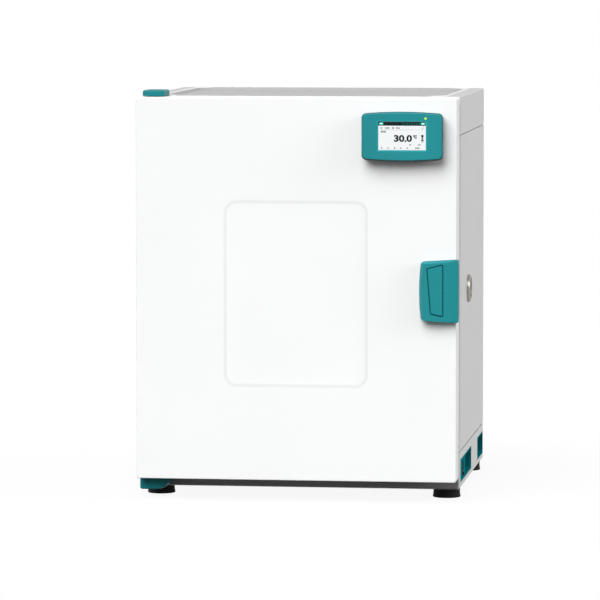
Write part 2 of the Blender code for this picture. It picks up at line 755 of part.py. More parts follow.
def power_switch():
    """The rocker, tilted with its upper end pressed in."""
    tall = SWITCH_HEIGHT / 2
    back = 0.005
    profile = [
        (-back, -0.7 * tall),
        (SWITCH_PIVOT + SWITCH_PROUD - 0.003, -tall),
        (SWITCH_PIVOT + SWITCH_DIP - 0.003, 0),
        (SWITCH_PIVOT + SWITCH_PROUD - 0.003, tall),
        (-back, 0.7 * tall),
    ]
    rocker = prism("power_switch", profile, -SWITCH_WIDTH / 2, SWITCH_WIDTH / 2, BLACK, "Y")
    rocker.matrix_world = (
        Matrix.Translation(SWITCH_AXIS) @ Matrix.Rotation(radians(-SWITCH_TILT), 4, "Y") @ UPRIGHT
    )
    return rocker


def rear_grip(side, name):
    """A short grip close to the back corner of the base."""
    start = CASE_BACK - REAR_GRIP_LENGTH
    end = CASE_BACK - REAR_GRIP_STOP
    outer = RIGHT if side > 0 else LEFT
    edges = sorted((outer, outer - side * GRIP_DEPTH))
    half = GRIP_HEIGHT / 2
    low = (edges[0], start, GRIP_Z - half)
    high = (edges[1], end, GRIP_Z + half)
    grip = box(name, low, high, TEAL, round_edges=0.001)
    return cut(grip, hand_recess(f"{name}_hand", side, start + 2 * GRIP_WALL, end - GRIP_WALL))


def feet():
    profile = [
        (0, FOOT_HEIGHT - GAP),
        (FOOT_WAIST, FOOT_HEIGHT - GAP),
        (FOOT_WAIST, 0.006),
        (FOOT_RADIUS, 0.003),
        (FOOT_RADIUS - 0.001, 0),
        (0, 0),
    ]
    made = []
    for end, y in (("front", CASE_FRONT + FOOT_INSET_Y), ("rear", CASE_BACK - FOOT_INSET_Y)):
        for side, x in (("left", LEFT + FOOT_INSET_X), ("right", RIGHT - FOOT_INSET_X)):
            made.append(turned(f"{end}_{side}_foot", profile, (x, y, 0), "up", RUBBER, steps=24))
    return made


def hinge_hole(name, low, high, radius=HINGE_PIN_RADIUS + RUNNING):
    x, y = DOOR_AXIS.x, DOOR_AXIS.y
    return cylinder(name, radius, (x, y, low), (x, y, high))


def hinge_pin(name, place, facing, below):
    """A headed pin. Its head lies under the plate and its shank reaches into the door."""
    radius, head = HINGE_PIN_RADIUS, HINGE_PIN_HEAD
    profile = [
        (0, HINGE_PIN_REACH),
        (radius - 0.001, HINGE_PIN_REACH),
        (radius, HINGE_PIN_REACH - 0.001),
        (radius, -below),
        (head, -below),
        (head, -below - 0.002),
        (0, -below - 0.002),
    ]
    return turned(name, profile, place, facing, STEEL, steps=24)


def hinge_plate(name, low, back):
    """The plate that carries a hinge's pin, with rounded corners."""
    front = DOOR_AXIS.y - HINGE_NOSE
    middle_x = LEFT + HINGE_PLATE_LEFT + HINGE_PLATE_WIDTH / 2
    sections = [
        Section(HINGE_PLATE_WIDTH, back - front, 0.0, CAP_CORNER - CAP_WALL),
        Section(HINGE_PLATE_WIDTH, back - front, HINGE_PLATE, CAP_CORNER - CAP_WALL),
    ]
    return loft(name, sections, (middle_x, (back + front) / 2, low), "up", STEEL)


def upper_hinge():
    low = CASE_TOP + GAP
    bracket = hinge_plate("upper_hinge_bracket", low, CASE_FRONT + HINGE_REST)
    cut(bracket, hinge_hole("upper_bracket_hole", low - GAP, low + 2 * HINGE_PLATE, HINGE_PIN_RADIUS + GAP))
    pin_place = (DOOR_AXIS.x, DOOR_AXIS.y, DOOR_TOP)
    below = low + HINGE_PLATE + GAP - DOOR_TOP
    pin = hinge_pin("upper_hinge_pin", pin_place, "down", below)
    return bracket, pin


def lower_hinge():
    high = DOOR_BOTTOM - CAP_CLEAR - GAP
    back = CASE_FRONT - GAP
    bracket = hinge_plate("lower_hinge_bracket", high - HINGE_PLATE, back)
    left = LEFT + HINGE_PLATE_LEFT
    leg_low = (left, back - HINGE_PLATE, high - HINGE_LEG)
    leg_high = (left + HINGE_PLATE_WIDTH, back, high - GAP)
    join(bracket, box("lower_hinge_leg", leg_low, leg_high))
    hole = hinge_hole("lower_bracket_hole", high - 2 * HINGE_PLATE, high + GAP, HINGE_PIN_RADIUS + GAP)
    cut(bracket, hole)
    pin_place = (DOOR_AXIS.x, DOOR_AXIS.y, DOOR_BOTTOM)
    below = DOOR_BOTTOM - (high - HINGE_PLATE - GAP)
    pin = hinge_pin("lower_hinge_pin", pin_place, "up", below)
    return bracket, pin


def hinge_cap(name, facing, left, width, back, level, steps):
    """A cover over a hinge's plate. steps hold a rise, how far it is drawn in, and its right side's sweep."""
    front = DOOR_AXIS.y - CAP_NOSE
    depth = back - front
    sections = []
    for rise, inward, sweep in steps:
        size = (width - 2 * inward - sweep, depth - 2 * inward)
        sections.append(Section(*size, rise, CAP_CORNER - inward / 2, (sweep / 2, 0.0)))
    place = (left + width / 2, front + depth / 2, level)
    return loft(name, sections, place, facing, TEAL, CAP_WALL, "last", corner_steps=4)


def hinge_caps():
    steps = ((-UPPER_CAP_HEIGHT, 0, 0), (-0.0032, 0, 0), (-0.0012, 0.0008, 0), (0, 0.0028, 0))
    level = CASE_TOP + GAP + UPPER_CAP_HEIGHT
    left, back = LEFT + UPPER_CAP_INSET, CASE_FRONT + UPPER_CAP_BACK
    upper = hinge_cap("upper_hinge_cap", "up", left, UPPER_CAP_WIDTH, back, level, steps)
    wide, tall = LOWER_CAP_SWEEP
    steps = [(-LOWER_CAP_HEIGHT, 0, 0)]
    for share in (1, 0.7, 0.4, 0.2, 0.07, 0):
        inward = 0.0024 * max(0, 1 - share / 0.2)
        steps.append((-share * tall, inward, wide * (1 - sqrt(1 - (1 - share) ** 2))))
    level = DOOR_BOTTOM - CAP_CLEAR - LOWER_CAP_HEIGHT
    left, back = LEFT + LOWER_CAP_INSET, CASE_FRONT + 2 * CAP_CORNER
    lower = hinge_cap("lower_hinge_cap", "down", left, LOWER_CAP_WIDTH, back, level, steps)
    case_low = (LEFT - CAP_WALL, CASE_FRONT - GAP, level - CAP_WALL)
    case_high = (LEFT + 2 * LOWER_CAP_WIDTH, CASE_FRONT + 3 * CAP_CORNER, DOOR_BOTTOM)
    return upper, cut(lower, box("lower_cap_end", case_low, case_high))


def front_frame():
    sections = [
        Section(CASE_WIDTH, PANEL_TALL, -FRAME_DEPTH, 0.0),
        Section(CASE_WIDTH, PANEL_TALL, -FOLD, 0.0),
        Section(CASE_WIDTH - 2 * FOLD, PANEL_TALL - 2 * FOLD, 0.0, 0.0),
        Section(RECESS_WIDTH, RECESS_HEIGHT, 0.0, 0.0),
        Section(RECESS_WIDTH, RECESS_HEIGHT, -FRAME_DEPTH, 0.0),
    ]
    place = (MIDDLE, CASE_FRONT, PANEL_CENTRE)
    frame = loft("front_frame", sections, place, "front", GREY, ends="ring")
    return cut(frame, keeper_block("keeper_hole", -GAP, -GAP, FRAME_DEPTH + GAP))


def keeper_block(name, inward, front, back, right=KEEPER_RIGHT, finish=None):
    """A block at the keeper's place, drawn in at its sides. front and back are behind the case's front."""
    low = (HOOK_AXIS.x - KEEPER_LEFT + inward, CASE_FRONT + front, HANDLE_Z - KEEPER_HALF_HEIGHT + inward)
    high = (HOOK_AXIS.x + right - inward, CASE_FRONT + back, HANDLE_Z + KEEPER_HALF_HEIGHT - inward)
    return box(name, low, high, finish)


def latch_keeper():
    """A box that is let into the frame. The hook's nose catches behind the lip of its mouth."""
    depth = FRAME_DEPTH - GAP
    keeper = keeper_block("latch_keeper", 0.0, 0.0, depth, finish=STEEL)
    inner = keeper_block("keeper_inner", KEEPER_PLATE, KEEPER_LIP_THICKNESS, depth - KEEPER_PLATE)
    mouth_right = KEEPER_LIP + KEEPER_PLATE
    mouth = keeper_block("keeper_mouth", KEEPER_PLATE, -KEEPER_PLATE, 2 * KEEPER_LIP_THICKNESS, mouth_right)
    return cut(keeper, inner, mouth)


def inner_chamber():
    flange_width = RECESS_WIDTH + 2 * FLANGE_OVERLAP
    flange_height = RECESS_HEIGHT + 2 * FLANGE_OVERLAP
    corner = CHAMBER_CORNER
    sections = [
        Section(flange_width, flange_height, 0.0, corner),
        Section(CHAMBER_WIDTH, CHAMBER_HEIGHT, 0.0, corner),
        Section(CHAMBER_WIDTH, CHAMBER_HEIGHT, -CHAMBER_DEPTH, corner),
    ]
    place = (MIDDLE, CHAMBER_FRONT, PANEL_CENTRE)
    chamber = loft("inner_chamber", sections, place, "front", STAINLESS, SHEET, "last")
    shaft_end = FAN_AXIS + Vector((0, MOTOR_LENGTH, 0))
    cut(chamber, port_hole("chamber_port_hole", PORT_BORE + PORT_WALL + GAP))
    cut(chamber, cylinder("chamber_shaft_hole", FAN_SHAFT + 0.002, FAN_AXIS, shaft_end))
    return cut(chamber, *heater_holes("chamber_heater_hole", HEATER_TUBE + GAP))


def heater_leg_ends():
    for side in (-1, 1):
        angle = radians(90 + side * HEATER_LEG_ANGLE)
        yield FAN_AXIS + Vector((HEATER_RADIUS * cos(angle), 0, HEATER_RADIUS * sin(angle)))


def heater_holes(name, radius, depth=0.0):
    made = []
    for number, start in enumerate(heater_leg_ends(), 1):
        end = Vector((start.x, CHAMBER_BACK + HEATER_TUBE * 3 + depth, start.z))
        made.append(cylinder(f"{name}_{number}", radius, start, end, segments=16))
    return made


def ring_heater():
    """A bent tubular element whose two ends pass back through the chamber's wall."""
    points = []
    steps = 28
    opening = radians(HEATER_LEG_ANGLE)
    back = CHAMBER_BACK + SHEET + HEATER_TUBE * 2
    for step in range(steps + 1):
        angle = pi / 2 + opening + (2 * pi - 2 * opening) * step / steps
        points.append(FAN_AXIS + Vector((HEATER_RADIUS * cos(angle), 0, HEATER_RADIUS * sin(angle))))
    first, last = points[0], points[-1]
    bend = HEATER_TUBE * 1.5
    points = [Vector((first.x, back, first.z)), Vector((first.x, first.y + bend, first.z))] + points[1:-1]
    points += [Vector((last.x, last.y + bend, last.z)), Vector((last.x, back, last.z))]
    curve = bpy.data.curves.new("ring_heater", "CURVE")
    curve.dimensions = "3D"
    curve.bevel_depth = HEATER_TUBE
    curve.bevel_resolution = 1
    curve.use_fill_caps = True
    spline = curve.splines.new("POLY")
    spline.points.add(len(points) - 1)
    for target, point in zip(spline.points, points):
        target.co = (*point, 1)
    curve.materials.append(STAINLESS)
    heater = bpy.data.objects.new("ring_heater", curve)
    PARTS.objects.link(heater)
    return heater


def chamber_insulation():
    front = FRAME_BACK + SEAM + FOLD
    depth = CASE_BACK - REAR_RETURN - GAP - front
    width = CASE_WIDTH - 2 * (SHEET + GAP)
    height = PANEL_TALL - 2 * (SHEET + GAP)
    wrap = 2 * (SHEET + INSULATION_GAP)
    back = CHAMBER_BACK + SHEET + INSULATION_GAP - front
    corner = CHAMBER_CORNER + SHEET
    sections = [
        Section(width, height, -depth, 0.001),
        Section(width, height, 0.0, 0.001),
        Section(CHAMBER_WIDTH + wrap, CHAMBER_HEIGHT + wrap, 0.0, corner),
        Section(CHAMBER_WIDTH + wrap, CHAMBER_HEIGHT + wrap, -back, corner),
    ]
    block = loft("chamber_insulation", sections, (MIDDLE, front, PANEL_CENTRE), "front", FOAM)
    cut(block, port_hole("insulation_port_hole", PORT_BORE + PORT_WALL + INSULATION_GAP))
    motor_end = FAN_AXIS + Vector((0, CASE_DEPTH, 0))
    cut(block, cylinder("insulation_motor_hole", MOTOR_RADIUS + INSULATION_GAP, FAN_AXIS, motor_end))
    return cut(block, *heater_holes("insulation_heater_hole", HEATER_TUBE + INSULATION_GAP, 0.006))


def access_port():
    """A flanged tube through the right wall, open at both ends."""
    length = FRAME_SIDE + CHAMBER_LAND + 0.001
    outer = PORT_BORE + PORT_WALL
    profile = [
        (PORT_BORE, PORT_PROUD - 0.001),
        (PORT_BORE + 0.001, PORT_PROUD),
        (PORT_FLANGE - 0.0015, PORT_PROUD),
        (PORT_FLANGE, PORT_PROUD - 0.0015),
        (PORT_FLANGE, GAP),
        (outer, GAP),
        (outer, -length),
        (PORT_BORE, -length),
    ]
    return turned("access_port", profile, PORT_CENTRE, "right", STAINLESS, steps=32)


def port_plug():
    """A tapered stopper with a dished face and a ring to pull it by."""
    radius = PORT_BORE - RUNNING
    face = PORT_PROUD - 0.0012
    profile = [
        (0, face - 0.003),
        (0.007, face - 0.003),
        (0.009, face),
        (0.012, face),
        (0.014, face - 0.003),
        (radius - 0.003, face - 0.003),
        (radius - 0.001, face),
        (radius, face - 0.001),
        (radius, face - 0.006),
        (radius - PLUG_TAPER, face - PLUG_LENGTH),
        (0, face - PLUG_LENGTH),
    ]
    return turned("port_plug", profile, PORT_CENTRE, "right", SILICONE, steps=24)


def rack_bottom():
    """Level of the lowest ledge, so that the access port opens half-way between two ledges."""
    return PORT_CENTRE.z - LEDGES_BELOW_PORT * LEDGE_PITCH


def shelf_rack(side, name):
    wall = MIDDLE + side * (CHAMBER_WIDTH / 2 - GAP)
    inner = wall - side * RACK_THICKNESS
    ledge = inner - side * LEDGE_DEPTH
    front = CHAMBER_FRONT + RACK_FRONT
    back = BAFFLE_FRONT - RACK_BACK
    low = rack_bottom() - 0.020
    high = rack_bottom() + (LEDGE_COUNT - 1) * LEDGE_PITCH + 0.020
    edges = sorted((wall, inner))
    rack = box(name, (edges[0], front, low), (edges[1], back, high), STAINLESS)
    edges = sorted((wall - side * RACK_THICKNESS / 2, ledge))
    for level in range(LEDGE_COUNT):
        z = rack_bottom() + level * LEDGE_PITCH
        start = (edges[0], front + 0.004, z - LEDGE_THICKNESS)
        end = (edges[1], back - 0.004, z)
        join(rack, box(f"{name}_ledge_{level + 1}", start, end))
    if side > 0:
        cut(rack, port_hole("rack_port_hole", PORT_BORE + PORT_WALL + RACK_THICKNESS))
    return rack


def shelf(name, level):
    width = CHAMBER_WIDTH - 2 * (GAP + RACK_THICKNESS + SHELF_CLEAR)
    front = CHAMBER_FRONT + RACK_FRONT - 0.006
    back = BAFFLE_FRONT - 0.010
    depth = back - front
    z = rack_bottom() + level * LEDGE_PITCH + GAP + SHELF_RIM
    place = (MIDDLE, (front + back) / 2, z)
    sections = folded(width, depth, SHELF_RIM, SHELF_CORNER)
    plate = loft(name, sections, place, "up", STAINLESS, SHEET, "last", corner_steps=2)
    row_pitch = (depth - 2 * SHELF_BORDER + SHELF_SLOT_WIDTH) / SHELF_SLOT_ROWS
    slot = (width - 2 * SHELF_BORDER + SHELF_SLOT_BAR) / SHELF_SLOT_COLUMNS - SHELF_SLOT_BAR
    bm = bmesh.new()
    for row in range(SHELF_SLOT_ROWS):
        y = -depth / 2 + SHELF_BORDER + row * row_pitch + SHELF_SLOT_WIDTH / 2
        for column in range(SHELF_SLOT_COLUMNS):
            x = -width / 2 + SHELF_BORDER + slot / 2 + column * (slot + SHELF_SLOT_BAR)
            size = Matrix.Diagonal((slot, SHELF_SLOT_WIDTH, 4 * SHEET, 1.0))
            bmesh.ops.create_cube(bm, size=1.0, matrix=Matrix.Translation((x, y, 0)) @ size)
    return cut(plate, add(f"{name}_slots", mesh_from(bm, f"{name}_slots"), None, place))


def rear_baffle():
    """The air duct's cover: a tray in front of the fan, with an intake grille and outlets at both sides."""
    width = CHAMBER_WIDTH - 2 * BAFFLE_SIDE
    height = CHAMBER_HEIGHT - 2 * BAFFLE_END
    sections = folded(width, height, BAFFLE_STANDOFF - GAP, BAFFLE_CORNER)
    place = (MIDDLE, BAFFLE_FRONT, PANEL_CENTRE)
    baffle = loft("rear_baffle", sections, place, "front", STAINLESS, SHEET, "last")
    bm = bmesh.new()
    count = int(INTAKE_RADIUS / INTAKE_PITCH)
    for column in range(-count, count + 1):
        x = column * INTAKE_PITCH
        tall = 2 * sqrt(INTAKE_RADIUS**2 - x**2)
        size = Matrix.Diagonal((INTAKE_SLOT, tall, 6 * SHEET, 1.0))
        bmesh.ops.create_cube(bm, size=1.0, matrix=Matrix.Translation((x, 0, 0)) @ size)
    pitch = (height - 2 * BAFFLE_END) / OUTLET_SLOTS
    for row in range(OUTLET_SLOTS):
        y = (row - (OUTLET_SLOTS - 1) / 2) * pitch
        for side in (-1, 1):
            x = side * (width / 2 - BAFFLE_SIDE - OUTLET_LENGTH / 2)
            size = Matrix.Diagonal((OUTLET_LENGTH, OUTLET_WIDTH, 6 * SHEET, 1.0))
            bmesh.ops.create_cube(bm, size=1.0, matrix=Matrix.Translation((x, y, 0)) @ size)
    grille = add("baffle_grille", mesh_from(bm, "baffle_grille"), None, place, FACING["front"])
    sensor = sensor_place()
    hole_end = sensor + Vector((0, 2 * REAR_RETURN, 0))
    hole_start = sensor - Vector((0, REAR_RETURN, 0))
    hole = cylinder("sensor_hole", SENSOR_RADIUS + GAP, hole_start, hole_end, segments=16)
    return cut(baffle, grille, hole)


def sensor_place():
    return Vector((MIDDLE, BAFFLE_FRONT, CHAMBER_ROOF - BAFFLE_END - SENSOR_BELOW_TOP))


def temperature_sensor():
    """A probe that reaches forward from a collar on the baffle."""
    radius = SENSOR_RADIUS
    profile = [
        (0, SENSOR_LENGTH),
        (0.6 * radius, SENSOR_LENGTH - 0.0004),
        (radius, SENSOR_LENGTH - 0.002),
        (radius, 0.003),
        (2.4 * radius, 0.003),
        (2.4 * radius, GAP),
        (radius, GAP),
        (radius, -0.012),
        (0, -0.012),
    ]
    return turned("temperature_sensor", profile, sensor_place(), "front", STAINLESS, steps=20)


def fan_wheel():
    """A centrifugal wheel: back plate, hub, backward-leaning blades and a front ring."""
    bore = FAN_SHAFT + GAP
    half = FAN_DEPTH / 2
    plate_profile = [
        (bore, -half + 0.014),
        (FAN_HUB, -half + 0.014),
        (FAN_HUB, -half + FAN_PLATE),
        (FAN_RADIUS, -half + FAN_PLATE),
        (FAN_RADIUS, -half),
        (bore, -half),
    ]
    wheel = turned("fan_wheel", plate_profile, FAN_AXIS, "front", STEEL, steps=24)
    ring_profile = [
        (FAN_RADIUS - FAN_RING, half),
        (FAN_RADIUS, half),
        (FAN_RADIUS, half - FAN_PLATE),
        (FAN_RADIUS - FAN_RING, half - FAN_PLATE),
    ]
    ring = turned("fan_ring", ring_profile, FAN_AXIS, "front", None, steps=24)
    bm = bmesh.new()
    inner, outer = FAN_RADIUS - 0.020, FAN_RADIUS - 0.001
    long = outer - inner
    for number in range(FAN_BLADES):
        size = Matrix.Diagonal((long, FAN_BLADE, FAN_DEPTH - FAN_PLATE, 1.0))
        lean = Matrix.Rotation(radians(35), 4, "Z")
        out = Matrix.Translation(((inner + outer) / 2 - 0.003, 0, 0))
        spin = Matrix.Rotation(2 * pi * number / FAN_BLADES, 4, "Z")
        bmesh.ops.create_cube(bm, size=1.0, matrix=spin @ out @ lean @ size)
    blades = add("fan_blades", mesh_from(bm, "fan_blades"), None, FAN_AXIS, FACING["front"])
    return join(wheel, blades, ring)


def fan_motor():
    front = CHAMBER_BACK + SHEET + GAP
    middle = Vector((FAN_AXIS.x, front, FAN_AXIS.z))
    tip = front - (FAN_AXIS.y - FAN_DEPTH / 2) - 0.002
    profile = [
        (0, tip),
        (FAN_SHAFT, tip),
        (FAN_SHAFT, 0),
        (MOTOR_RADIUS - 0.002, 0),
        (MOTOR_RADIUS, -0.002),
        (MOTOR_RADIUS, -MOTOR_LENGTH + 0.004),
        (MOTOR_RADIUS - 0.004, -MOTOR_LENGTH),
        (0, -MOTOR_LENGTH),
    ]
    return turned("fan_motor", profile, middle, "front", STEEL, steps=24)


def power_inlet():
    """A chassis socket: flange, body, hollow and three flat pins."""
    def block(name, size, start, end, shift=0.0, finish=None):
        low = INLET_PLACE + Vector((shift - size[0] / 2, start, -size[1] / 2))
        high = INLET_PLACE + Vector((shift + size[0] / 2, end, size[1] / 2))
        return box(name, low, high, finish)

    inlet = block("power_inlet", INLET_FLANGE, GAP, INLET_PROUD, finish=BLACK)
    join(inlet, block("inlet_body", INLET_BODY, -INLET_BODY_DEPTH, INLET_PROUD / 2))
    floor = INLET_PROUD - INLET_SOCKET_DEPTH
    cut(inlet, block("inlet_socket", INLET_SOCKET, floor, 2 * INLET_PROUD))
    for number in (-1, 0, 1):
        pin = block(
            f"inlet_pin_{number + 2}",
            INLET_PIN[:2],
            floor - 0.001,
            floor + INLET_PIN[2],
            number * INLET_PIN_PITCH,
        )
        join(inlet, pin)
    return inlet


def door_skin():
    outer = folded(CASE_WIDTH, DOOR_HEIGHT, SKIN_DEPTH, DOOR_CORNER)
    shift = (0, DOOR_BOTTOM + WINDOW_LOW + WINDOW_HEIGHT / 2 - DOOR_CENTRE)
    outer += [
        Section(WINDOW_WIDTH, WINDOW_HEIGHT, 0.0, WINDOW_CORNER, shift),
        Section(
            WINDOW_WIDTH - 2 * WINDOW_SLOPE,
            WINDOW_HEIGHT - 2 * WINDOW_SLOPE,
            -WINDOW_DROP,
            WINDOW_CORNER - WINDOW_SLOPE,
            shift,
        ),
    ]
    place = (MIDDLE, DOOR_FRONT, DOOR_CENTRE)
    skin = loft("door_skin", outer, place, "front", WHITE, SHEET, "last", corner_steps=5)
    cut(skin, hinge_hole("skin_lower_bore", DOOR_BOTTOM - HINGE_PLATE, DOOR_BOTTOM + HINGE_PLATE))
    cut(skin, hinge_hole("skin_upper_bore", DOOR_TOP - HINGE_PLATE, DOOR_TOP + HINGE_PLATE))
    arm_low = (HOOK_AXIS.x - POCKET_LEFT + 0.001, DOOR_FRONT - HANDLE_WALL, HANDLE_Z - LATCH_HALF_HEIGHT)
    arm_high = (HOOK_AXIS.x + 0.005, DOOR_FRONT + HANDLE_WALL, HANDLE_Z + LATCH_HALF_HEIGHT)
    cable_start = PANEL_PLACE - Vector((0, HANDLE_WALL, 0))
    cable_end = PANEL_PLACE + Vector((0, HANDLE_WALL, 0))
    cut(skin, box("arm_slot", arm_low, arm_high))
    return cut(skin, cylinder("cable_hole", 0.008, cable_start, cable_end))


def door_liner():
    width = CASE_WIDTH - 2 * LINER_INSET
    height = DOOR_HEIGHT - 2 * LINER_INSET
    sections = folded(width, height, DOOR_DEPTH - SKIN_DEPTH + LINER_TUCK, DOOR_CORNER)
    recess_width, recess_height = liner_recess()
    slope = 0.006
    shift = (0, PANEL_CENTRE - DOOR_CENTRE)
    sections += [
        Section(recess_width, recess_height, 0.0, LINER_RECESS_CORNER, shift),
        Section(
            recess_width - 2 * slope,
            recess_height - 2 * slope,
            -LINER_DROP,
            LINER_RECESS_CORNER - slope,
            shift,
        ),
    ]
    place = (MIDDLE, DOOR_BACK, DOOR_CENTRE)
    liner = loft("door_liner", sections, place, "back", WHITE, SHEET, "last", corner_steps=4)
    slot_low = (HOOK_AXIS.x - 0.010, DOOR_BACK - HINGE_PLATE, HANDLE_Z - LATCH_HALF_HEIGHT + 0.001)
    slot_high = (HOOK_AXIS.x + 0.007, DOOR_BACK + HINGE_PLATE, HANDLE_Z + LATCH_HALF_HEIGHT - 0.001)
    return cut(liner, box("hook_slot", slot_low, slot_high))


def liner_recess():
    return CASE_WIDTH - 2 * LINER_RECESS_EDGE, RECESS_HEIGHT - 2 * (LINER_RECESS_EDGE - FRAME_SIDE)


def door_insulation():
    inset = SHEET + GAP
    wrap = 2 * inset
    width = CASE_WIDTH - 2 * LINER_INSET - wrap
    height = DOOR_HEIGHT - 2 * LINER_INSET - wrap
    bevelled = (width - 2 * FOLD, height - 2 * FOLD)
    recess_width, recess_height = liner_recess()
    recess_shift = (0, PANEL_CENTRE - DOOR_CENTRE)
    shift = (0, DOOR_BOTTOM + WINDOW_LOW + WINDOW_HEIGHT / 2 - DOOR_CENTRE)
    back = -(DOOR_DEPTH - inset)
    corner = DOOR_CORNER - FOLD
    sections = [
        Section(recess_width, recess_height, back + LINER_DROP, LINER_RECESS_CORNER, recess_shift),
        Section(recess_width + wrap, recess_height + wrap, back, LINER_RECESS_CORNER, recess_shift),
        Section(*bevelled, back, corner),
        Section(width, height, back + FOLD, corner),
        Section(width, height, -inset, corner),
        Section(WINDOW_WIDTH + wrap, WINDOW_HEIGHT + wrap, -inset, WINDOW_CORNER, shift),
        Section(WINDOW_WIDTH, WINDOW_HEIGHT, -inset - WINDOW_DROP, WINDOW_CORNER, shift),
    ]
    place = (MIDDLE, DOOR_FRONT, DOOR_CENTRE)
    block = loft("door_insulation", sections, place, "front", FOAM)
    reach = HINGE_PIN_REACH + RUNNING
    cut(block, hinge_hole("foam_lower_bore", DOOR_BOTTOM - reach, DOOR_BOTTOM + reach))
    cut(block, hinge_hole("foam_upper_bore", DOOR_TOP - reach, DOOR_TOP + reach))
    half = LATCH_HALF_HEIGHT + GAP
    low = (HOOK_AXIS.x - POCKET_LEFT, DOOR_FRONT - GAP, HANDLE_Z - half)
    high = (HOOK_AXIS.x + LATCH_RIGHT + GAP, DOOR_BACK + GAP, HANDLE_Z + half)
    return cut(block, box("latch_pocket", low, high))


def door_gasket():
    inner_width = RECESS_WIDTH + 2 * GASKET_LAND
    inner_height = RECESS_HEIGHT + 2 * GASKET_LAND
    wide = 2 * GASKET_WIDTH
    deep = DOOR_SEAT - 2 * GAP
    draft = 2 * GASKET_DRAFT
    sections = [
        Section(inner_width + wide, inner_height + wide, 0.0, 0.0),
        Section(inner_width + wide - draft, inner_height + wide - draft, deep, 0.0),
        Section(inner_width + draft, inner_height + draft, deep, 0.0),
        Section(inner_width, inner_height, 0.0, 0.0),
    ]
    place = (MIDDLE, DOOR_BACK + GAP, PANEL_CENTRE)
    return loft("door_gasket", sections, place, "back", RUBBER, ends="ring")


def panel_sections(steps):
    """Sections of the control housing from pairs of level and how far the outline is drawn in."""
    made = []
    for level, inward in steps:
        made.append(
            Section(
                PANEL_WIDTH - 2 * inward,
                PANEL_HEIGHT - 2 * inward,
                level,
                PANEL_CORNER - inward / 2,
                (0.0, 0.0),
                PANEL_BOW,
            )
        )
    return made


def control_housing():
    steps = ((PANEL_BACK_DEPTH + GAP, 0.001), (PANEL_PROUD - 0.003, 0.0), (PANEL_PROUD - 0.001, 0.0008))
    sections = panel_sections(steps + ((PANEL_PROUD, 0.0026),))
    opening = (SCREEN_WIDTH + 2 * GAP, SCREEN_HEIGHT + 2 * GAP)
    sections += [Section(*opening, PANEL_PROUD, 0.0006, (0.0, SCREEN_RISE))]
    sections += [Section(*opening, PANEL_PROUD - PANEL_WALL / 2, 0.0006, (0.0, SCREEN_RISE))]
    housing = loft(
        "control_housing",
        sections,
        PANEL_PLACE,
        "front",
        TEAL,
        PANEL_WALL,
        "none",
        corner_steps=3,
        edge_steps=4,
    )
    lamp = lamp_place()
    start = lamp - Vector((0, PANEL_PROUD + PANEL_WALL, 0))
    end = lamp - Vector((0, PANEL_PROUD - 2 * PANEL_WALL, 0))
    return cut(housing, cylinder("lamp_hole", LAMP_RADIUS + GAP, start, end, segments=16))


def lamp_place():
    return PANEL_PLACE + Vector((LAMP_PLACE[0], 0, LAMP_PLACE[1]))


def control_back():
    """The dark foot that carries the housing and, on four posts, the board."""
    lip = PANEL_BACK_DEPTH - PANEL_BACK_LIP
    steps = (
        (GAP, PANEL_BACK_INSET),
        (lip - PANEL_BACK_LIP, PANEL_BACK_INSET),
        (lip, PANEL_BACK_LIP),
        (PANEL_BACK_DEPTH, PANEL_BACK_LIP),
    )
    plate = loft(
        "control_housing_back",
        panel_sections(steps),
        PANEL_PLACE,
        "front",
        BLACK,
        corner_steps=3,
        edge_steps=4,
    )
    for number, (across, up) in enumerate(((-1, -1), (1, -1), (1, 1), (-1, 1)), 1):
        x = PANEL_PLACE.x + across * (BOARD_SIZE[0] / 2 - 2 * POST_RADIUS)
        z = PANEL_PLACE.z + up * (BOARD_SIZE[1] / 2 - 2 * POST_RADIUS)
        start = (x, DOOR_FRONT - PANEL_BACK_DEPTH / 2, z)
        end = (x, DOOR_FRONT - BOARD_LEVEL + GAP, z)
        join(plate, cylinder(f"board_post_{number}", POST_RADIUS, start, end, segments=12))
    return plate


def control_board():
    half = Vector((BOARD_SIZE[0] / 2, 0, BOARD_SIZE[1] / 2))
    back = DOOR_FRONT - BOARD_LEVEL
    low = (PANEL_PLACE.x - half.x, back - BOARD_SIZE[2], PANEL_PLACE.z - half.z)
    high = (PANEL_PLACE.x + half.x, back, PANEL_PLACE.z + half.z)
    return box("control_board", low, high, BOARD)


def display_screen():
    level = PANEL_PROUD - SCREEN_SINK
    shift = (0.0, SCREEN_RISE)
    sections = [
        Section(SCREEN_WIDTH, SCREEN_HEIGHT, level - SCREEN_THICKNESS, 0.0004, shift),
        Section(SCREEN_WIDTH, SCREEN_HEIGHT, level, 0.0004, shift),
    ]
    return loft("display_screen", sections, PANEL_PLACE, "front", DISPLAY, corner_steps=2)


def status_lamp():
    radius = LAMP_RADIUS
    top = PANEL_PROUD
    seat = top - PANEL_WALL - GAP
    profile = [
        (0, top),
        (0.6 * radius, top - 0.0002),
        (radius, top - 0.0008),
        (radius, seat),
        (1.5 * radius, seat),
        (1.5 * radius, seat - 0.002),
        (0, seat - 0.002),
    ]
    return turned("status_lamp", profile, lamp_place(), "front", LAMP, steps=16)


def paddle_outline(margin=0.0):
    points = widened(PADDLE_CORNERS, margin) if margin else PADDLE_CORNERS
    return [(PADDLE_AXIS.x + across, HANDLE_Z + up) for across, up in eased(points, PADDLE_EASE + margin)]


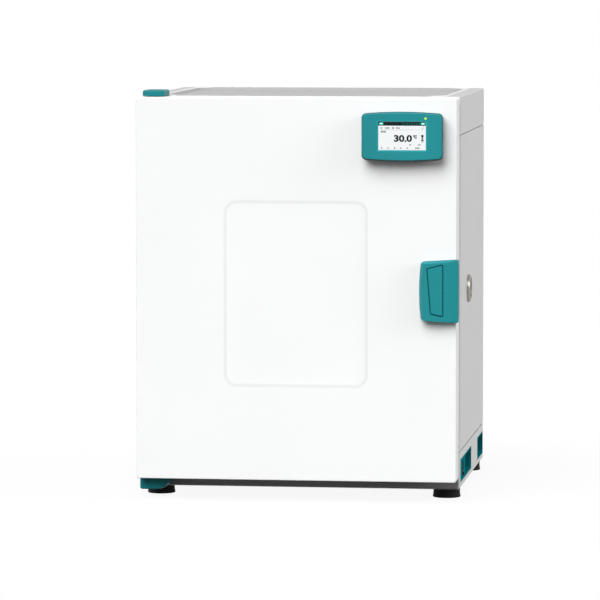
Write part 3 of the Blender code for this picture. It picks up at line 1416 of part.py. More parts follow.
def taper(item, width, height):
    """Draws a handle's ends in towards its left side and bows that side outwards."""
    bm = bmesh.new()
    bm.from_mesh(item.data)
    for share in (-0.6, -0.3, 0.0, 0.3, 0.6):
        everything = bm.verts[:] + bm.edges[:] + bm.faces[:]
        place = (0, share * height / 2, 0)
        bmesh.ops.bisect_plane(bm, geom=everything, dist=0.00001, plane_co=place, plane_no=(0, 1, 0))
    for vertex in bm.verts:
        across = 0.5 - vertex.co.x / width
        up = 2 * vertex.co.y / height
        vertex.co.x -= HANDLE_BOW * across * (1 - up**2)
        vertex.co.y -= HANDLE_TAPER * across * up
    bm.to_mesh(item.data)
    bm.free()
    return item


def handle_housing():
    """A shell whose raised middle falls away to its sides, with a lip round the door's edge."""
    width = HANDLE_REACH + HANDLE_WRAP
    centre = RIGHT + HANDLE_WRAP - width / 2
    plateau = width - PLATEAU_LEFT - PLATEAU_RIGHT
    shift = ((PLATEAU_LEFT - PLATEAU_RIGHT) / 2, 0)
    sections = [
        Section(width, HANDLE_HEIGHT, GAP, HANDLE_CORNER, tight=HANDLE_TIGHT),
        Section(width, HANDLE_HEIGHT, HANDLE_SHOULDER, HANDLE_CORNER, tight=HANDLE_TIGHT),
        Section(plateau, HANDLE_HEIGHT - 2 * PLATEAU_END, HANDLE_PROUD, HANDLE_CORNER / 2, shift),
    ]
    place = (centre, DOOR_FRONT, HANDLE_Z)
    housing = loft("handle_housing", sections, place, "front", TEAL, HANDLE_WALL, "last", corner_steps=4)
    smooth(taper(housing, width, HANDLE_HEIGHT))
    half = HANDLE_HEIGHT / 2 - 2 * HANDLE_CORNER
    lip_low = (RIGHT + GAP, DOOR_FRONT - HANDLE_LIP / 2, HANDLE_Z - half)
    lip_high = (RIGHT + HANDLE_WRAP - GAP, DOOR_FRONT + HANDLE_LIP, HANDLE_Z + half)
    join(housing, box("handle_lip", lip_low, lip_high, round_edges=0.001))
    levels = (DOOR_FRONT - HANDLE_PROUD - HANDLE_WALL, DOOR_FRONT - HANDLE_SHOULDER + 0.004)
    opening = prism("paddle_opening", paddle_outline(PADDLE_GAP), *levels, axis="Y")
    reach = Vector((0, 0, PADDLE_PIN_REACH + GAP))
    bore = cylinder("paddle_pin_seat", PADDLE_PIN_RADIUS + GAP, PADDLE_AXIS - reach, PADDLE_AXIS + reach)
    return cut(housing, opening, bore)


def paddle_pin():
    reach = Vector((0, 0, PADDLE_PIN_REACH))
    return cylinder("paddle_pin", PADDLE_PIN_RADIUS, PADDLE_AXIS - reach, PADDLE_AXIS + reach, STEEL, 16)


def latch_paddle():
    """The flap that is pressed, its two knuckles and the arm that reaches through the door's skin."""
    front = DOOR_FRONT - HANDLE_PROUD
    levels = (front, front + PADDLE_THICKNESS)
    paddle = bevel(prism("latch_paddle", paddle_outline(), *levels, TEAL, "Y"), 0.0006, 1)
    for number, side in enumerate((-1, 1), 1):
        middle = PADDLE_AXIS + Vector((0, 0, side * PADDLE_KNUCKLE_OFFSET))
        half = Vector((0, 0, PADDLE_KNUCKLE_LENGTH / 2))
        start, end = middle - half, middle + half
        join(paddle, cylinder(f"paddle_knuckle_{number}", PADDLE_KNUCKLE, start, end, segments=16))
    tip = arm_tip()
    arm_low = (PADDLE_AXIS.x - ARM_WIDTH / 2, PADDLE_AXIS.y - PADDLE_KNUCKLE, HANDLE_Z - ARM_HEIGHT / 2)
    arm_high = (PADDLE_AXIS.x + ARM_WIDTH / 2, tip.y, HANDLE_Z + ARM_HEIGHT / 2)
    join(paddle, box("paddle_arm", arm_low, arm_high))
    half = Vector((0, 0, ARM_HEIGHT / 2))
    join(paddle, cylinder("paddle_arm_end", ARM_WIDTH / 2 - 0.00001, tip - half, tip + half, segments=16))
    reach = Vector((0, 0, HANDLE_HEIGHT))
    ends = (PADDLE_AXIS - reach, PADDLE_AXIS + reach)
    return cut(paddle, cylinder("paddle_bore", PADDLE_PIN_RADIUS + RUNNING, *ends, segments=16))


def arm_tip():
    """Centre of the arm's round end, half-way between the paddle's pin and the hook's pin."""
    middle = (PADDLE_AXIS.y + HOOK_AXIS.y) / 2
    return Vector((PADDLE_AXIS.x, middle - ARM_WIDTH / 2, HANDLE_Z))


def paddle_spring():
    """A torsion spring round the pin, between the two knuckles, above the arm."""
    points = []
    steps = 10 * SPRING_TURNS
    start = PADDLE_AXIS.z + ARM_HEIGHT / 2 + 2 * SPRING_WIRE
    for step in range(steps + 1):
        angle = 2 * pi * step / 10
        x = PADDLE_AXIS.x + SPRING_COIL * cos(angle)
        y = PADDLE_AXIS.y + SPRING_COIL * sin(angle)
        points.append((x, y, start + SPRING_PITCH * step / 10, 1))
    curve = bpy.data.curves.new("paddle_spring", "CURVE")
    curve.dimensions = "3D"
    curve.bevel_depth = SPRING_WIRE
    curve.bevel_resolution = 0
    curve.use_fill_caps = True
    spline = curve.splines.new("POLY")
    spline.points.add(len(points) - 1)
    for target, point in zip(spline.points, points):
        target.co = point
    curve.materials.append(STEEL)
    spring = bpy.data.objects.new("paddle_spring", curve)
    PARTS.objects.link(spring)
    return spring


def hook_points():
    """The hook seen from above, anticlockwise: tail to the front, shank and nose to the back."""
    half, boss = HOOK_HALF_WIDTH, HOOK_BOSS
    face = CASE_FRONT + KEEPER_LIP_THICKNESS + LATCH_PLAY - HOOK_AXIS.y
    end = face + HOOK_NOSE_DEPTH
    chamfer = HOOK_NOSE_DEPTH / 2
    points = [
        (-half, -HOOK_TAIL),
        (half - 0.001, -HOOK_TAIL),
        (half - 0.001, -boss),
        (boss, -half),
        (boss, half),
        (half, boss),
        (half, face),
        (HOOK_NOSE, face),
        (HOOK_NOSE, face + chamfer),
        (HOOK_NOSE - chamfer, end),
        (-half, end),
        (-half, boss),
        (-boss, half),
        (-boss, -half),
        (-half, -boss),
    ]
    return [(HOOK_AXIS.x + x, HOOK_AXIS.y + y) for x, y in points]


def latch_hook():
    levels = (HANDLE_Z - HOOK_HEIGHT / 2, HANDLE_Z + HOOK_HEIGHT / 2)
    hook = prism("latch_hook", hook_points(), *levels, STEEL)
    reach = Vector((0, 0, HOOK_HEIGHT))
    ends = (HOOK_AXIS - reach, HOOK_AXIS + reach)
    return cut(hook, cylinder("hook_bore", HOOK_PIN_RADIUS + RUNNING, *ends, segments=20))


def latch_case():
    """A bent plate that holds the hook's pin inside the door."""
    half = LATCH_HALF_HEIGHT
    inner = half - LATCH_PLATE
    x, y, z = HOOK_AXIS
    back = DOOR_BACK - SHEET - GAP
    front = y - LATCH_NOSE
    case = box("latch_case", (x - LATCH_LEFT, front, z - half), (x + LATCH_RIGHT, back, z + half), STEEL)
    low = (x - 2 * LATCH_LEFT, front - GAP, z - inner)
    high = (x + LATCH_RIGHT - LATCH_PLATE / 2, back + GAP, z + inner)
    cut(case, box("latch_case_hollow", low, high))
    reach = Vector((0, 0, inner + LATCH_PLATE / 2))
    pin = cylinder("hook_pin", HOOK_PIN_RADIUS, HOOK_AXIS - reach, HOOK_AXIS + reach, segments=20)
    return join(case, pin)


def glass_pane():
    sections = [
        Section(PANE_WIDTH, PANE_HEIGHT, -PANE_THICKNESS, PANE_CORNER),
        Section(PANE_WIDTH, PANE_HEIGHT, 0.0, PANE_CORNER),
    ]
    pane = loft("glass_pane", sections, (MIDDLE, PANE_FRONT, PANEL_CENTRE), "front", GLASS)
    knob = knob_place()
    start = knob - Vector((0, PANE_THICKNESS, 0))
    end = knob + Vector((0, 2 * PANE_THICKNESS, 0))
    return cut(pane, cylinder("knob_hole", KNOB_HOLE, start, end))


def knob_place():
    return Vector((PANE_RIGHT - KNOB_IN, PANE_FRONT, PANEL_CENTRE))


def glass_knob():
    """A waisted knob whose stud passes through the pane to a collar behind it."""
    stud = KNOB_HOLE - GAP
    back = -PANE_THICKNESS - GAP
    profile = [
        (0, KNOB_REACH),
        (KNOB_RADIUS - 0.002, KNOB_REACH),
        (KNOB_RADIUS, KNOB_REACH - 0.002),
        (KNOB_RADIUS, KNOB_REACH - 0.006),
        (0.0055, KNOB_REACH - 0.009),
        (0.0055, 0.003),
        (0.008, 0.002),
        (0.008, GAP),
        (stud, GAP),
        (stud, back),
        (0.007, back),
        (0.007, back - 0.002),
        (0, back - 0.002),
    ]
    return turned("glass_knob", profile, knob_place(), "front", BLACK, steps=16)


def glass_hinge(end, name):
    """A clip round the pane's lower or upper left corner, with a knuckle and a pin. end is -1 or 1."""
    edge = PANEL_CENTRE + end * PANE_HEIGHT / 2
    outer = edge + end * (GAP + CLIP_PLATE)
    inner = edge - end * CLIP_HEIGHT
    front = PANE_FRONT - GAP - CLIP_PLATE
    back = PANE_BACK + GAP + CLIP_PLATE
    zs = sorted((outer, inner))
    clip = box(name, (PANE_LEFT, front, zs[0]), (PANE_LEFT + CLIP_WIDTH, back, zs[1]), STAINLESS)
    slot = sorted((edge + end * GAP, inner - end * CLIP_PLATE))
    slot_low = (PANE_LEFT - CLIP_PLATE, PANE_FRONT - GAP, slot[0])
    slot_high = (PANE_LEFT + CLIP_WIDTH + CLIP_PLATE, PANE_BACK + GAP, slot[1])
    cut(clip, box(f"{name}_slot", slot_low, slot_high))
    seal = sorted((edge - end * CLIP_REAR, inner - end * CLIP_PLATE))
    seal_low = (PANE_LEFT + CLIP_REAR, PANE_BACK, seal[0])
    seal_high = (PANE_LEFT + CLIP_WIDTH + CLIP_PLATE, back + CLIP_PLATE, seal[1])
    cut(clip, box(f"{name}_seal_notch", seal_low, seal_high))
    x, y = GLASS_AXIS.x, GLASS_AXIS.y
    knuckle = cylinder(f"{name}_knuckle", KNUCKLE_RADIUS, (x, y, inner), (x, y, outer), segments=20)
    root, tip = outer - end * CLIP_PLATE, outer + end * GLASS_PIN_REACH
    pin = cylinder(f"{name}_pin", GLASS_PIN_RADIUS, (x, y, root), (x, y, tip), segments=16)
    return join(clip, knuckle, pin)


def glass_bracket(end, name):
    """The block in the frame's corner that takes the glass door's pin. end is -1 or 1."""
    wall = PANEL_CENTRE + end * (RECESS_HEIGHT / 2 - GAP)
    face = PANEL_CENTRE + end * (PANE_HEIGHT / 2 + GAP + CLIP_PLATE + 0.0005)
    left = MIDDLE - RECESS_WIDTH / 2 + GAP
    front = CASE_FRONT + 0.0005
    zs = sorted((wall, face))
    low = (left, front, zs[0])
    high = (left + GLASS_BRACKET_WIDTH, front + GLASS_BRACKET_DEPTH, zs[1])
    block = box(name, low, high, STAINLESS)
    x, y = GLASS_AXIS.x, GLASS_AXIS.y
    bore = cylinder(
        f"{name}_bore",
        GLASS_PIN_RADIUS + RUNNING,
        (x, y, zs[0] - GAP),
        (x, y, zs[1] + GAP),
        segments=16,
    )
    return cut(block, bore)


def glass_seal():
    width = PANE_WIDTH - 2 * SEAL_MARGIN
    height = PANE_HEIGHT - 2 * SEAL_MARGIN
    front = PANE_BACK + GAP
    depth = CHAMBER_FRONT - GAP - front
    narrow = 2 * SEAL_WIDTH
    sections = [
        Section(width, height, -depth, 0.0),
        Section(width - 0.002, height - 0.002, 0.0, 0.0),
        Section(width - narrow + 0.002, height - narrow + 0.002, 0.0, 0.0),
        Section(width - narrow, height - narrow, -depth, 0.0),
    ]
    return loft("glass_seal", sections, (MIDDLE, front, PANEL_CENTRE), "front", SILICONE, ends="ring")


def build_cabinet():
    pieces = [top_cover(), base_pan(), base_deck(), power_supply()]
    pieces += [rear_panel(), front_frame(), latch_keeper()]
    pieces += [*side_panels(), inner_chamber(), chamber_insulation(), access_port()]
    pieces += [*feet(), *upper_hinge(), *lower_hinge(), *hinge_caps()]
    for side, name in ((-1, "left"), (1, "right")):
        grip = front_grip(side, f"{name}_front_grip")
        if side > 0:
            cut(grip, switch_pocket())
        pieces += [grip, rear_grip(side, f"{name}_rear_grip")]
        pieces.append(shelf_rack(side, f"{name}_shelf_rack"))
    pieces += [rear_baffle(), fan_motor(), ring_heater(), temperature_sensor(), power_inlet()]
    pieces.append(glass_seal())
    pieces += [glass_bracket(-1, "glass_lower_bracket"), glass_bracket(1, "glass_upper_bracket")]
    group_of("cabinet", (0, 0, 0), *pieces)


def build_door():
    pieces = [door_skin(), door_liner(), door_insulation(), door_gasket()]
    pieces += [control_housing(), control_back(), control_board(), display_screen(), status_lamp()]
    pieces += [handle_housing(), paddle_pin(), paddle_spring(), latch_case()]
    door = group_of("outer_door", DOOR_AXIS, *pieces)
    carry(door, group_of("paddle", PADDLE_AXIS, latch_paddle()))
    carry(door, group_of("hook", HOOK_AXIS, latch_hook()))


def build_glass_door():
    pieces = [glass_pane(), glass_knob()]
    pieces += [glass_hinge(-1, "glass_lower_hinge"), glass_hinge(1, "glass_upper_hinge")]
    group_of("glass_door", GLASS_AXIS, *pieces)


def build_loose_pieces():
    for name, level in SHELF_LEVELS.items():
        plate = shelf(name, level)
        group_of(f"{name}_slide", plate.location, plate)
    group_of("plug_slide", PORT_CENTRE, port_plug())
    group_of("switch_pivot", SWITCH_AXIS, power_switch())
    group_of("fan_spindle", FAN_AXIS, fan_wheel())


build_cabinet()
build_door()
build_glass_door()
build_loose_pieces()
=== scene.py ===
"""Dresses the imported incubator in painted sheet, plastic, stainless steel and glass, in a studio.

Units are metres. The front faces -Y, the hinges are on the -X side and +Z is up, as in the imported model.
"""

import json
from math import cos, pi, radians, sin

import bmesh
import bpy
from mathutils import Matrix, Vector

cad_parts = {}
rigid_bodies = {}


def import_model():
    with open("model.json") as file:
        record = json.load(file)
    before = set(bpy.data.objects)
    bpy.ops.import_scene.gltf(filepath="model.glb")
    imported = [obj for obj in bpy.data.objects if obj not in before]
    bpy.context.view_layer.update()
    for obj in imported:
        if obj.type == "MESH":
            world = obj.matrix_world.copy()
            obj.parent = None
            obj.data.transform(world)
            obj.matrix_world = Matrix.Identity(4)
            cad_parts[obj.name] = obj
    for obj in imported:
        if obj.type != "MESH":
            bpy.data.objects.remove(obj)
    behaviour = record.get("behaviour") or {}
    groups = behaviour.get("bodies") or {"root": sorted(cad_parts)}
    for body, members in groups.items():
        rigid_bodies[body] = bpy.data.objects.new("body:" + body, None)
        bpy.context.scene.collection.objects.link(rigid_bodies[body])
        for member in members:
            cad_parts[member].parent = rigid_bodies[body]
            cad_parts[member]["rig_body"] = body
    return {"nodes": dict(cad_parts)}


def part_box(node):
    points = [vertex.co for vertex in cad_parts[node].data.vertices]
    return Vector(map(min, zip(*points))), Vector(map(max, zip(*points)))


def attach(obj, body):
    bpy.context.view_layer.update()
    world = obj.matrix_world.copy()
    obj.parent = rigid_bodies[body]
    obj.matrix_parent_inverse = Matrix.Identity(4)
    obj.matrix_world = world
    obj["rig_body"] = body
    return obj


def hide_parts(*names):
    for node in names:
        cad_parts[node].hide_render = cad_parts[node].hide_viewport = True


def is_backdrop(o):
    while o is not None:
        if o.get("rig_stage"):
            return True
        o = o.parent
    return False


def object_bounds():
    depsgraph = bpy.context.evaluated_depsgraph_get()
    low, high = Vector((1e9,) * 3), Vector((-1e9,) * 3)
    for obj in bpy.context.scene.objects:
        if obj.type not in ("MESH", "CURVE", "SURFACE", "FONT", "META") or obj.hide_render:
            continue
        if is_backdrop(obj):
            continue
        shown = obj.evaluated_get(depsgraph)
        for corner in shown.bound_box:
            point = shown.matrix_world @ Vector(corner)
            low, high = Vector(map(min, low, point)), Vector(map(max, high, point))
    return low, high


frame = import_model()
cad_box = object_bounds()

NODES = frame["nodes"]
BODY_OF = {node: item["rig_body"] for node, item in NODES.items()}

# Colours, in linear light
DOOR_WHITE = (0.88, 0.885, 0.885)
CASE_GREY = (0.62, 0.62, 0.62)
# The tray's grey, darker than the case's grey, is painted shade on the top of the case.
TRAY_GREY_AS_SHADE = (0.33, 0.33, 0.33)
TEAL = (0.006, 0.228, 0.254)
SOOT = (0.016, 0.016, 0.017)
RUBBER = (0.007, 0.007, 0.007)
STAINLESS = (0.62, 0.62, 0.61)
ZINC = (0.52, 0.53, 0.54)

# Measures in metres
CASE_MIDDLE = -0.003  # across
SHEET_EDGE = 0.0004  # radius at the folds of painted sheet
FAN_LEVEL = 0.40515  # of the fan's axis and the heater's middle
PORT_PROUD = 0.006  # from the side panel to the face of the port's flange

# Turns that point a piece's own +Z outwards and keep its own +Y upwards
UPRIGHT = Matrix.Rotation(pi / 2, 4, "X")
RIGHTWARDS = Matrix.Rotation(pi / 2, 4, "Z") @ UPRIGHT
REARWARDS = Matrix.Rotation(pi, 4, "Z") @ UPRIGHT
UPWARDS = Matrix.Identity(4)


class Socket:
    """One socket of a material's node tree. Sums written on it add their Math nodes."""

    def __init__(self, tree, end=None):
        self.tree = tree
        self.end = end

    def node(self, kind, settings=None, inputs=None, output=0):
        """Adds a node: first its settings, then the values or links of its sockets."""
        made = self.tree.nodes.new("ShaderNode" + kind)
        for name, value in (settings or {}).items():
            setattr(made, name, value)
        for name, value in (inputs or {}).items():
            if isinstance(value, Socket):
                self.tree.links.new(value.end, made.inputs[name])
            else:
                made.inputs[name].default_value = value
        return Socket(self.tree, made.outputs[output] if made.outputs else None)

    def sum_of(self, operation, first, second=0.0):
        return self.node("Math", {"operation": operation}, {0: first, 1: second})

    def __add__(self, other):
        return self.sum_of("ADD", self, other)

    def __sub__(self, other):
        return self.sum_of("SUBTRACT", self, other)

    def __rsub__(self, other):
        return self.sum_of("SUBTRACT", other, self)

    def __mul__(self, other):
        return self.sum_of("MULTIPLY", self, other)

    __radd__ = __add__
    __rmul__ = __mul__

    def distance(self, value):
        return self.sum_of("ABSOLUTE", self - value)

    def between(self, low, high):
        """0 at low, 1 at high, eased at both ends."""
        limits = {"Value": self, "From Min": low, "From Max": high}
        return self.node("MapRange", {"interpolation_type": "SMOOTHSTEP"}, limits)

    def where(self):
        return self.node("TexCoord", output="Object")

    def seen(self):
        """1 for what the camera sees, plainly or in or through a piece, 0 for light on the pieces."""
        path = self.node("LightPath").end.node.outputs
        rays = [Socket(self.tree, path[f"Is {kind} Ray"]) for kind in ("Camera", "Glossy", "Transmission")]
        return self.sum_of("MAXIMUM", self.sum_of("MAXIMUM", rays[0], rays[1]), rays[2])

    def grain(self, scale, detail=2.0, stretch=None):
        """Smooth noise that is fixed to the piece, drawn out along an axis by stretch."""
        place = self.where()
        if stretch:
            place = self.node("VectorMath", {"operation": "MULTIPLY"}, {0: place, 1: stretch})
        return self.node("TexNoise", inputs={"Vector": place, "Scale": scale, "Detail": detail})

    def cells(self, scale, output="Distance"):
        place = self.where()
        return self.node("TexVoronoi", inputs={"Vector": place, "Scale": scale}, output=output)

    def blend(self, mask, first, second):
        """One colour where the mask is 0, the other where it is 1."""
        ends = {0: mask}
        for socket, colour in ((6, first), (7, second)):
            ends[socket] = colour if isinstance(colour, Socket) else (*colour, 1.0)
        return self.node("Mix", {"data_type": "RGBA"}, ends, output=2)

    def relief(self, height, depth):
        """A surface that stands up by depth, in metres, where height is 1."""
        return self.node("Bump", inputs={"Strength": 1.0, "Distance": depth, "Height": height})


def new_finish(name):
    """An empty material, and a socket to start its node tree from."""
    finish = bpy.data.materials.new(name)
    finish.use_nodes = True
    finish.node_tree.nodes.clear()
    return finish, Socket(finish.node_tree)


def sealed(finish, start, sockets):
    """Ends a material with its shader."""
    shader = start.node("BsdfPrincipled", inputs=sockets)
    start.node("OutputMaterial", inputs={"Surface": shader})
    return finish


def toned(colour, share):
    return tuple(channel * share for channel in colour)


def powder_coat(name, colour, roughness, sheen=0.45):
    """Baked powder paint: fine orange peel, a little unevenness in tone and sheen."""
    finish, start = new_finish(name)
    patch = start.grain(4, 3).between(0.3, 0.7)
    peel = start.grain(420, 2) + 0.35 * start.grain(2100, 1)
    sockets = {
        "Base Color": start.blend(patch, toned(colour, 0.985), colour),
        "Roughness": start.grain(22, 3) * 0.10 + (roughness - 0.05),
        "Specular IOR Level": sheen,
        "Normal": start.relief(peel, 0.00004),
    }
    return sealed(finish, start, sockets)


def cover_paint_with_highlights(name, grey, light):
    """Powder paint on the edges round the tray: the tray's tone, with lighter bands beside the tray's ends
    that are painted highlights.
    """
    finish, start = new_finish(name)
    away = start.node("SeparateXYZ", inputs={0: start.where()}).distance(CASE_MIDDLE)
    # Painted highlights: lighter bands on the rim beside the tray's ends.
    mask = away.between(0.244, 0.258) - away.between(0.284, 0.290) * 0.8
    sockets = {
        "Base Color": start.blend(mask, grey, light),
        "Roughness": start.grain(22, 3) * 0.10 + 0.36,
        "Specular IOR Level": 0.2,
        "Normal": start.relief(start.grain(420, 2), 0.00004),
    }
    return sealed(finish, start, sockets)


def moulded(name, colour, roughness, depth=0.00003, sheen=0.3):
    """Injection-moulded plastic with a spark-eroded texture and faint flow marks."""
    finish, start = new_finish(name)
    flow = start.grain(9, 3, (1.0, 1.0, 0.35)).between(0.32, 0.68)
    spark = start.grain(1500, 2) + 0.5 * start.cells(900)
    sockets = {
        "Base Color": start.blend(flow, toned(colour, 0.95), toned(colour, 1.03)),
        "Roughness": start.grain(35, 3) * 0.12 + (roughness - 0.06),
        "Specular IOR Level": sheen,
        "Normal": start.relief(spark, depth),
    }
    return sealed(finish, start, sockets)


def brushed(name, stretch, colour=STAINLESS, roughness=0.26):
    """Stainless sheet with its grain along one axis, which stretch keeps short."""
    finish, start = new_finish(name)
    hair = start.grain(1.0, 3, stretch)
    smear = start.grain(7, 3).between(0.35, 0.7)
    sockets = {
        "Base Color": start.blend(hair, toned(colour, 0.86), toned(colour, 1.06)),
        "Metallic": 1.0,
        "Roughness": hair * 0.16 + smear * 0.06 + (roughness - 0.08),
        "Normal": start.relief(hair, 0.000012),
    }
    return sealed(finish, start, sockets)


def zinc_plate(name, colour=ZINC, roughness=0.36):
    """Zinc-plated steel: small crystals, each with its own tone."""
    finish, start = new_finish(name)
    crystal = start.cells(240, "Color")
    tone = start.node("SeparateColor", inputs={0: crystal})
    fine = start.grain(900, 2)
    sockets = {
        "Base Color": start.blend(tone, toned(colour, 0.88), toned(colour, 1.05)),
        "Metallic": 1.0,
        "Roughness": tone * 0.10 + fine * 0.08 + (roughness - 0.09),
        "Normal": start.relief(fine, 0.00001),
    }
    return sealed(finish, start, sockets)


def vulcanised(name, colour, roughness=0.72):
    """Rubber: matt, with a fine tooth and a bloom of dust."""
    finish, start = new_finish(name)
    bloom = start.grain(60, 4).between(0.45, 0.8)
    sockets = {
        "Base Color": start.blend(bloom * 0.5, colour, tuple(channel + 0.012 for channel in colour)),
        "Roughness": bloom * 0.12 + (roughness - 0.04),
        "Specular IOR Level": 0.15,
        "Normal": start.relief(start.grain(1100, 2), 0.00005),
    }
    return sealed(finish, start, sockets)


def silicone_rubber(name):
    """Translucent silicone with a satin skin."""
    finish, start = new_finish(name)
    cloud = start.grain(45, 3).between(0.3, 0.7)
    sockets = {
        "Base Color": start.blend(cloud, (0.26, 0.25, 0.24), (0.34, 0.33, 0.31)),
        "Roughness": start.grain(120, 2) * 0.15 + 0.38,
        "Specular IOR Level": 0.12,
        "Subsurface Weight": 0.35,
        "Subsurface Scale": 0.004,
        "Normal": start.relief(start.grain(700, 2), 0.00003),
    }
    return sealed(finish, start, sockets)


def tempered_glass(name):
    """Clear float glass, seen as a pale sheet with a faint film on it."""
    finish, start = new_finish(name)
    film = start.grain(14, 3).between(0.35, 0.75)
    sockets = {
        "Base Color": start.blend(film, (0.62, 0.76, 0.72), (0.68, 0.80, 0.77)),
        "Roughness": film * 0.02 + 0.015,
        "Alpha": film * 0.05 + 0.15,
    }
    return sealed(finish, start, sockets)


def rigid_foam(name):
    """Poured polyurethane foam with its cut cells."""
    finish, start = new_finish(name)
    cell = start.cells(420)
    sockets = {
        "Base Color": start.blend(cell.between(0.0, 0.9), (0.62, 0.52, 0.30), (0.82, 0.74, 0.52)),
        "Roughness": 0.95 - cell * 0.05,
        "Specular IOR Level": 0.2,
        "Normal": start.relief(cell, 0.0004),
    }
    return sealed(finish, start, sockets)


def circuit_board(name):
    """Solder mask with copper tracks under it and a few tinned pads."""
    finish, start = new_finish(name)
    place = start.where()
    tracks = start.node(
        "TexBrick",
        {"offset": 0.5},
        {"Vector": start.node("VectorMath", {"operation": "MULTIPLY"}, {0: place, 1: (260, 260, 260)})},
        output=1,
    )
    pads = (1 - start.cells(180)).between(0.80, 0.86)
    mask = start.blend(tracks, (0.006, 0.090, 0.030), (0.015, 0.170, 0.060))
    sockets = {
        "Base Color": start.blend(pads, mask, (0.60, 0.58, 0.52)),
        "Roughness": pads * 0.05 + 0.32,
        "Normal": start.relief(tracks + pads, 0.00004),
    }
    return sealed(finish, start, sockets)


def lit(name, colour, strength, roughness=0.25, sheen=0.3):
    """Part of the lit display, with the fine grid of its pixels."""
    finish, start = new_finish(name)
    across = start.grain(1.0, 1, (3900.0, 1.0, 1.0)).between(0.3, 0.6)
    up = start.grain(1.0, 1, (1.0, 1.0, 3900.0)).between(0.3, 0.6)
    pixel = across * up
    shown = start.blend(pixel, toned(colour, 0.93), colour)
    sockets = {
        "Base Color": toned(colour, 0.3) + (1.0,),
        "Roughness": pixel * 0.05 + roughness,
        "Specular IOR Level": sheen,
        "Emission Color": shown,
        "Emission Strength": strength,
    }
    return sealed(finish, start, sockets)


PAINT = {
    "door": powder_coat("door paint", DOOR_WHITE, 0.36),
    "liner": powder_coat("liner paint", toned(DOOR_WHITE, 0.84), 0.40),
    # Darker tone for the slope round the door's pressed field: painted shade.
    "pressing": powder_coat("door pressing painted shade", toned(DOOR_WHITE, 0.92), 0.38),
    "case": powder_coat("case paint", CASE_GREY, 0.40),
    # Darker grey on the base's front under the door: painted shade.
    "plinth": powder_coat("plinth painted shade", toned(CASE_GREY, 0.7), 0.5, 0.1),
    # Darker grey in the tray: painted shade on the top.
    "tray": powder_coat("tray paint darkened as shade", TRAY_GREY_AS_SHADE, 0.45, 0.12),
    "rim": cover_paint_with_highlights("cover rim paint with painted highlights", TRAY_GREY_AS_SHADE, CASE_GREY),
}
TEAL_SHELL = moulded("teal shell", TEAL, 0.40)
# Darker teal on the rolled edges of the housings: painted shade.
TEAL_EDGE_SHADE = moulded("teal edge painted shade", toned(TEAL, 0.52), 0.50)
# Lighter teal on the handle's lowest slope, as painted light, and on the fall to the display, as a painted
# highlight.
TEAL_PAINTED_LIGHT = moulded("teal painted light", toned(TEAL, 1.35), 0.34)
# Darker teal on the hinge caps: painted shade.
TEAL_CAP_SHADE = moulded("teal cap painted shade", toned(TEAL, 0.72), 0.44, sheen=0.15)
# Darker teal in the gap round the paddle and on the paddle's sides: painted shade.
TEAL_GROOVE_SHADE = moulded("teal groove painted shade", toned(TEAL, 0.60), 0.70, sheen=0.0)
# Darker teal for the lip sunk in the gap round the paddle: painted shade.
TEAL_SKIRT_SHADE = moulded("teal skirt painted shade", toned(TEAL, 0.60), 0.60, sheen=0.0)
TEAL_GRIP = moulded("teal grip", TEAL, 0.50, sheen=0.0)
TEAL_PADDLE = moulded("teal paddle", TEAL, 0.36)
# Black plastic; also used as painted shade in the switch's pocket and under the control housing's edge.
BLACK_SHELL_AND_SHADE = moulded("black shell", SOOT, 0.46)
BLACK_SATIN = moulded("black satin", toned(SOOT, 0.9), 0.30, 0.00001)
FOOT_RUBBER = vulcanised("foot rubber", RUBBER)
GASKET_RUBBER = vulcanised("gasket rubber", toned(RUBBER, 2.2), 0.62)
SILICONE = silicone_rubber("silicone")
SHEET_SIDEWAYS = brushed("stainless brushed sideways", (9.0, 1500.0, 1500.0))
SHEET_INWARDS = brushed("stainless brushed front to back", (1500.0, 9.0, 1500.0))
TURNED_STEEL = brushed("stainless turned", (3000.0, 160.0, 160.0), STAINLESS, 0.24)
# Steel darkened and warmed on the port: a painted dark reflection.
PORT_STEEL_DARK_REFLECTION = brushed("port steel with painted dark reflection", (160.0, 3000.0, 3000.0), (0.34, 0.32, 0.30), 0.24)
WIRE_STEEL = brushed("stainless wire", (260.0, 260.0, 260.0), toned(STAINLESS, 0.95), 0.30)
ZINC_STEEL = zinc_plate("zinc plate")
GLASS = tempered_glass("tempered glass")
FOAM = rigid_foam("insulation foam")
BOARD = circuit_board("circuit board")
DISPLAY_PAPER = lit("display ground", (0.84, 0.86, 0.87), 0.76)
DISPLAY_BAR = lit("display bar", (0.006, 0.018, 0.024), 0.4, 0.3, 0.06)
DISPLAY_INK = lit("display ink", (0.004, 0.018, 0.025), 0.3, 0.3, 0.05)
DISPLAY_WHITE = lit("display white", (0.95, 0.97, 0.97), 0.9)
DISPLAY_GREEN = lit("display green", (0.01, 0.60, 0.44), 1.0)
DISPLAY_GREY = lit("display grey", (0.06, 0.08, 0.09), 0.5, 0.3, 0.1)
LAMP_GREEN = lit("lamp green", (0.52, 0.84, 0.0), 1.1, 0.15)
SWITCH_MARK = moulded("switch mark", (0.75, 0.75, 0.75), 0.5)
SWITCH_RED = moulded("switch red", (0.035, 0.010, 0.008), 0.45, sheen=0.0)


def span(node):
    """Lowest and highest corner of a node, and its middle."""
    low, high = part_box(node)
    return low, high, (low + high) / 2


def settle(bm):
    """Closes a new shape's seams and turns its faces outwards."""
    bmesh.ops.remove_doubles(bm, verts=bm.verts, dist=0.000002)
    bmesh.ops.recalc_face_normals(bm, faces=bm.faces)
    return bm


def placed(bm, turn, spot=(0, 0, 0)):
    bmesh.ops.transform(bm, matrix=Matrix.Translation(Vector(spot)) @ turn, verts=bm.verts)
    return bm


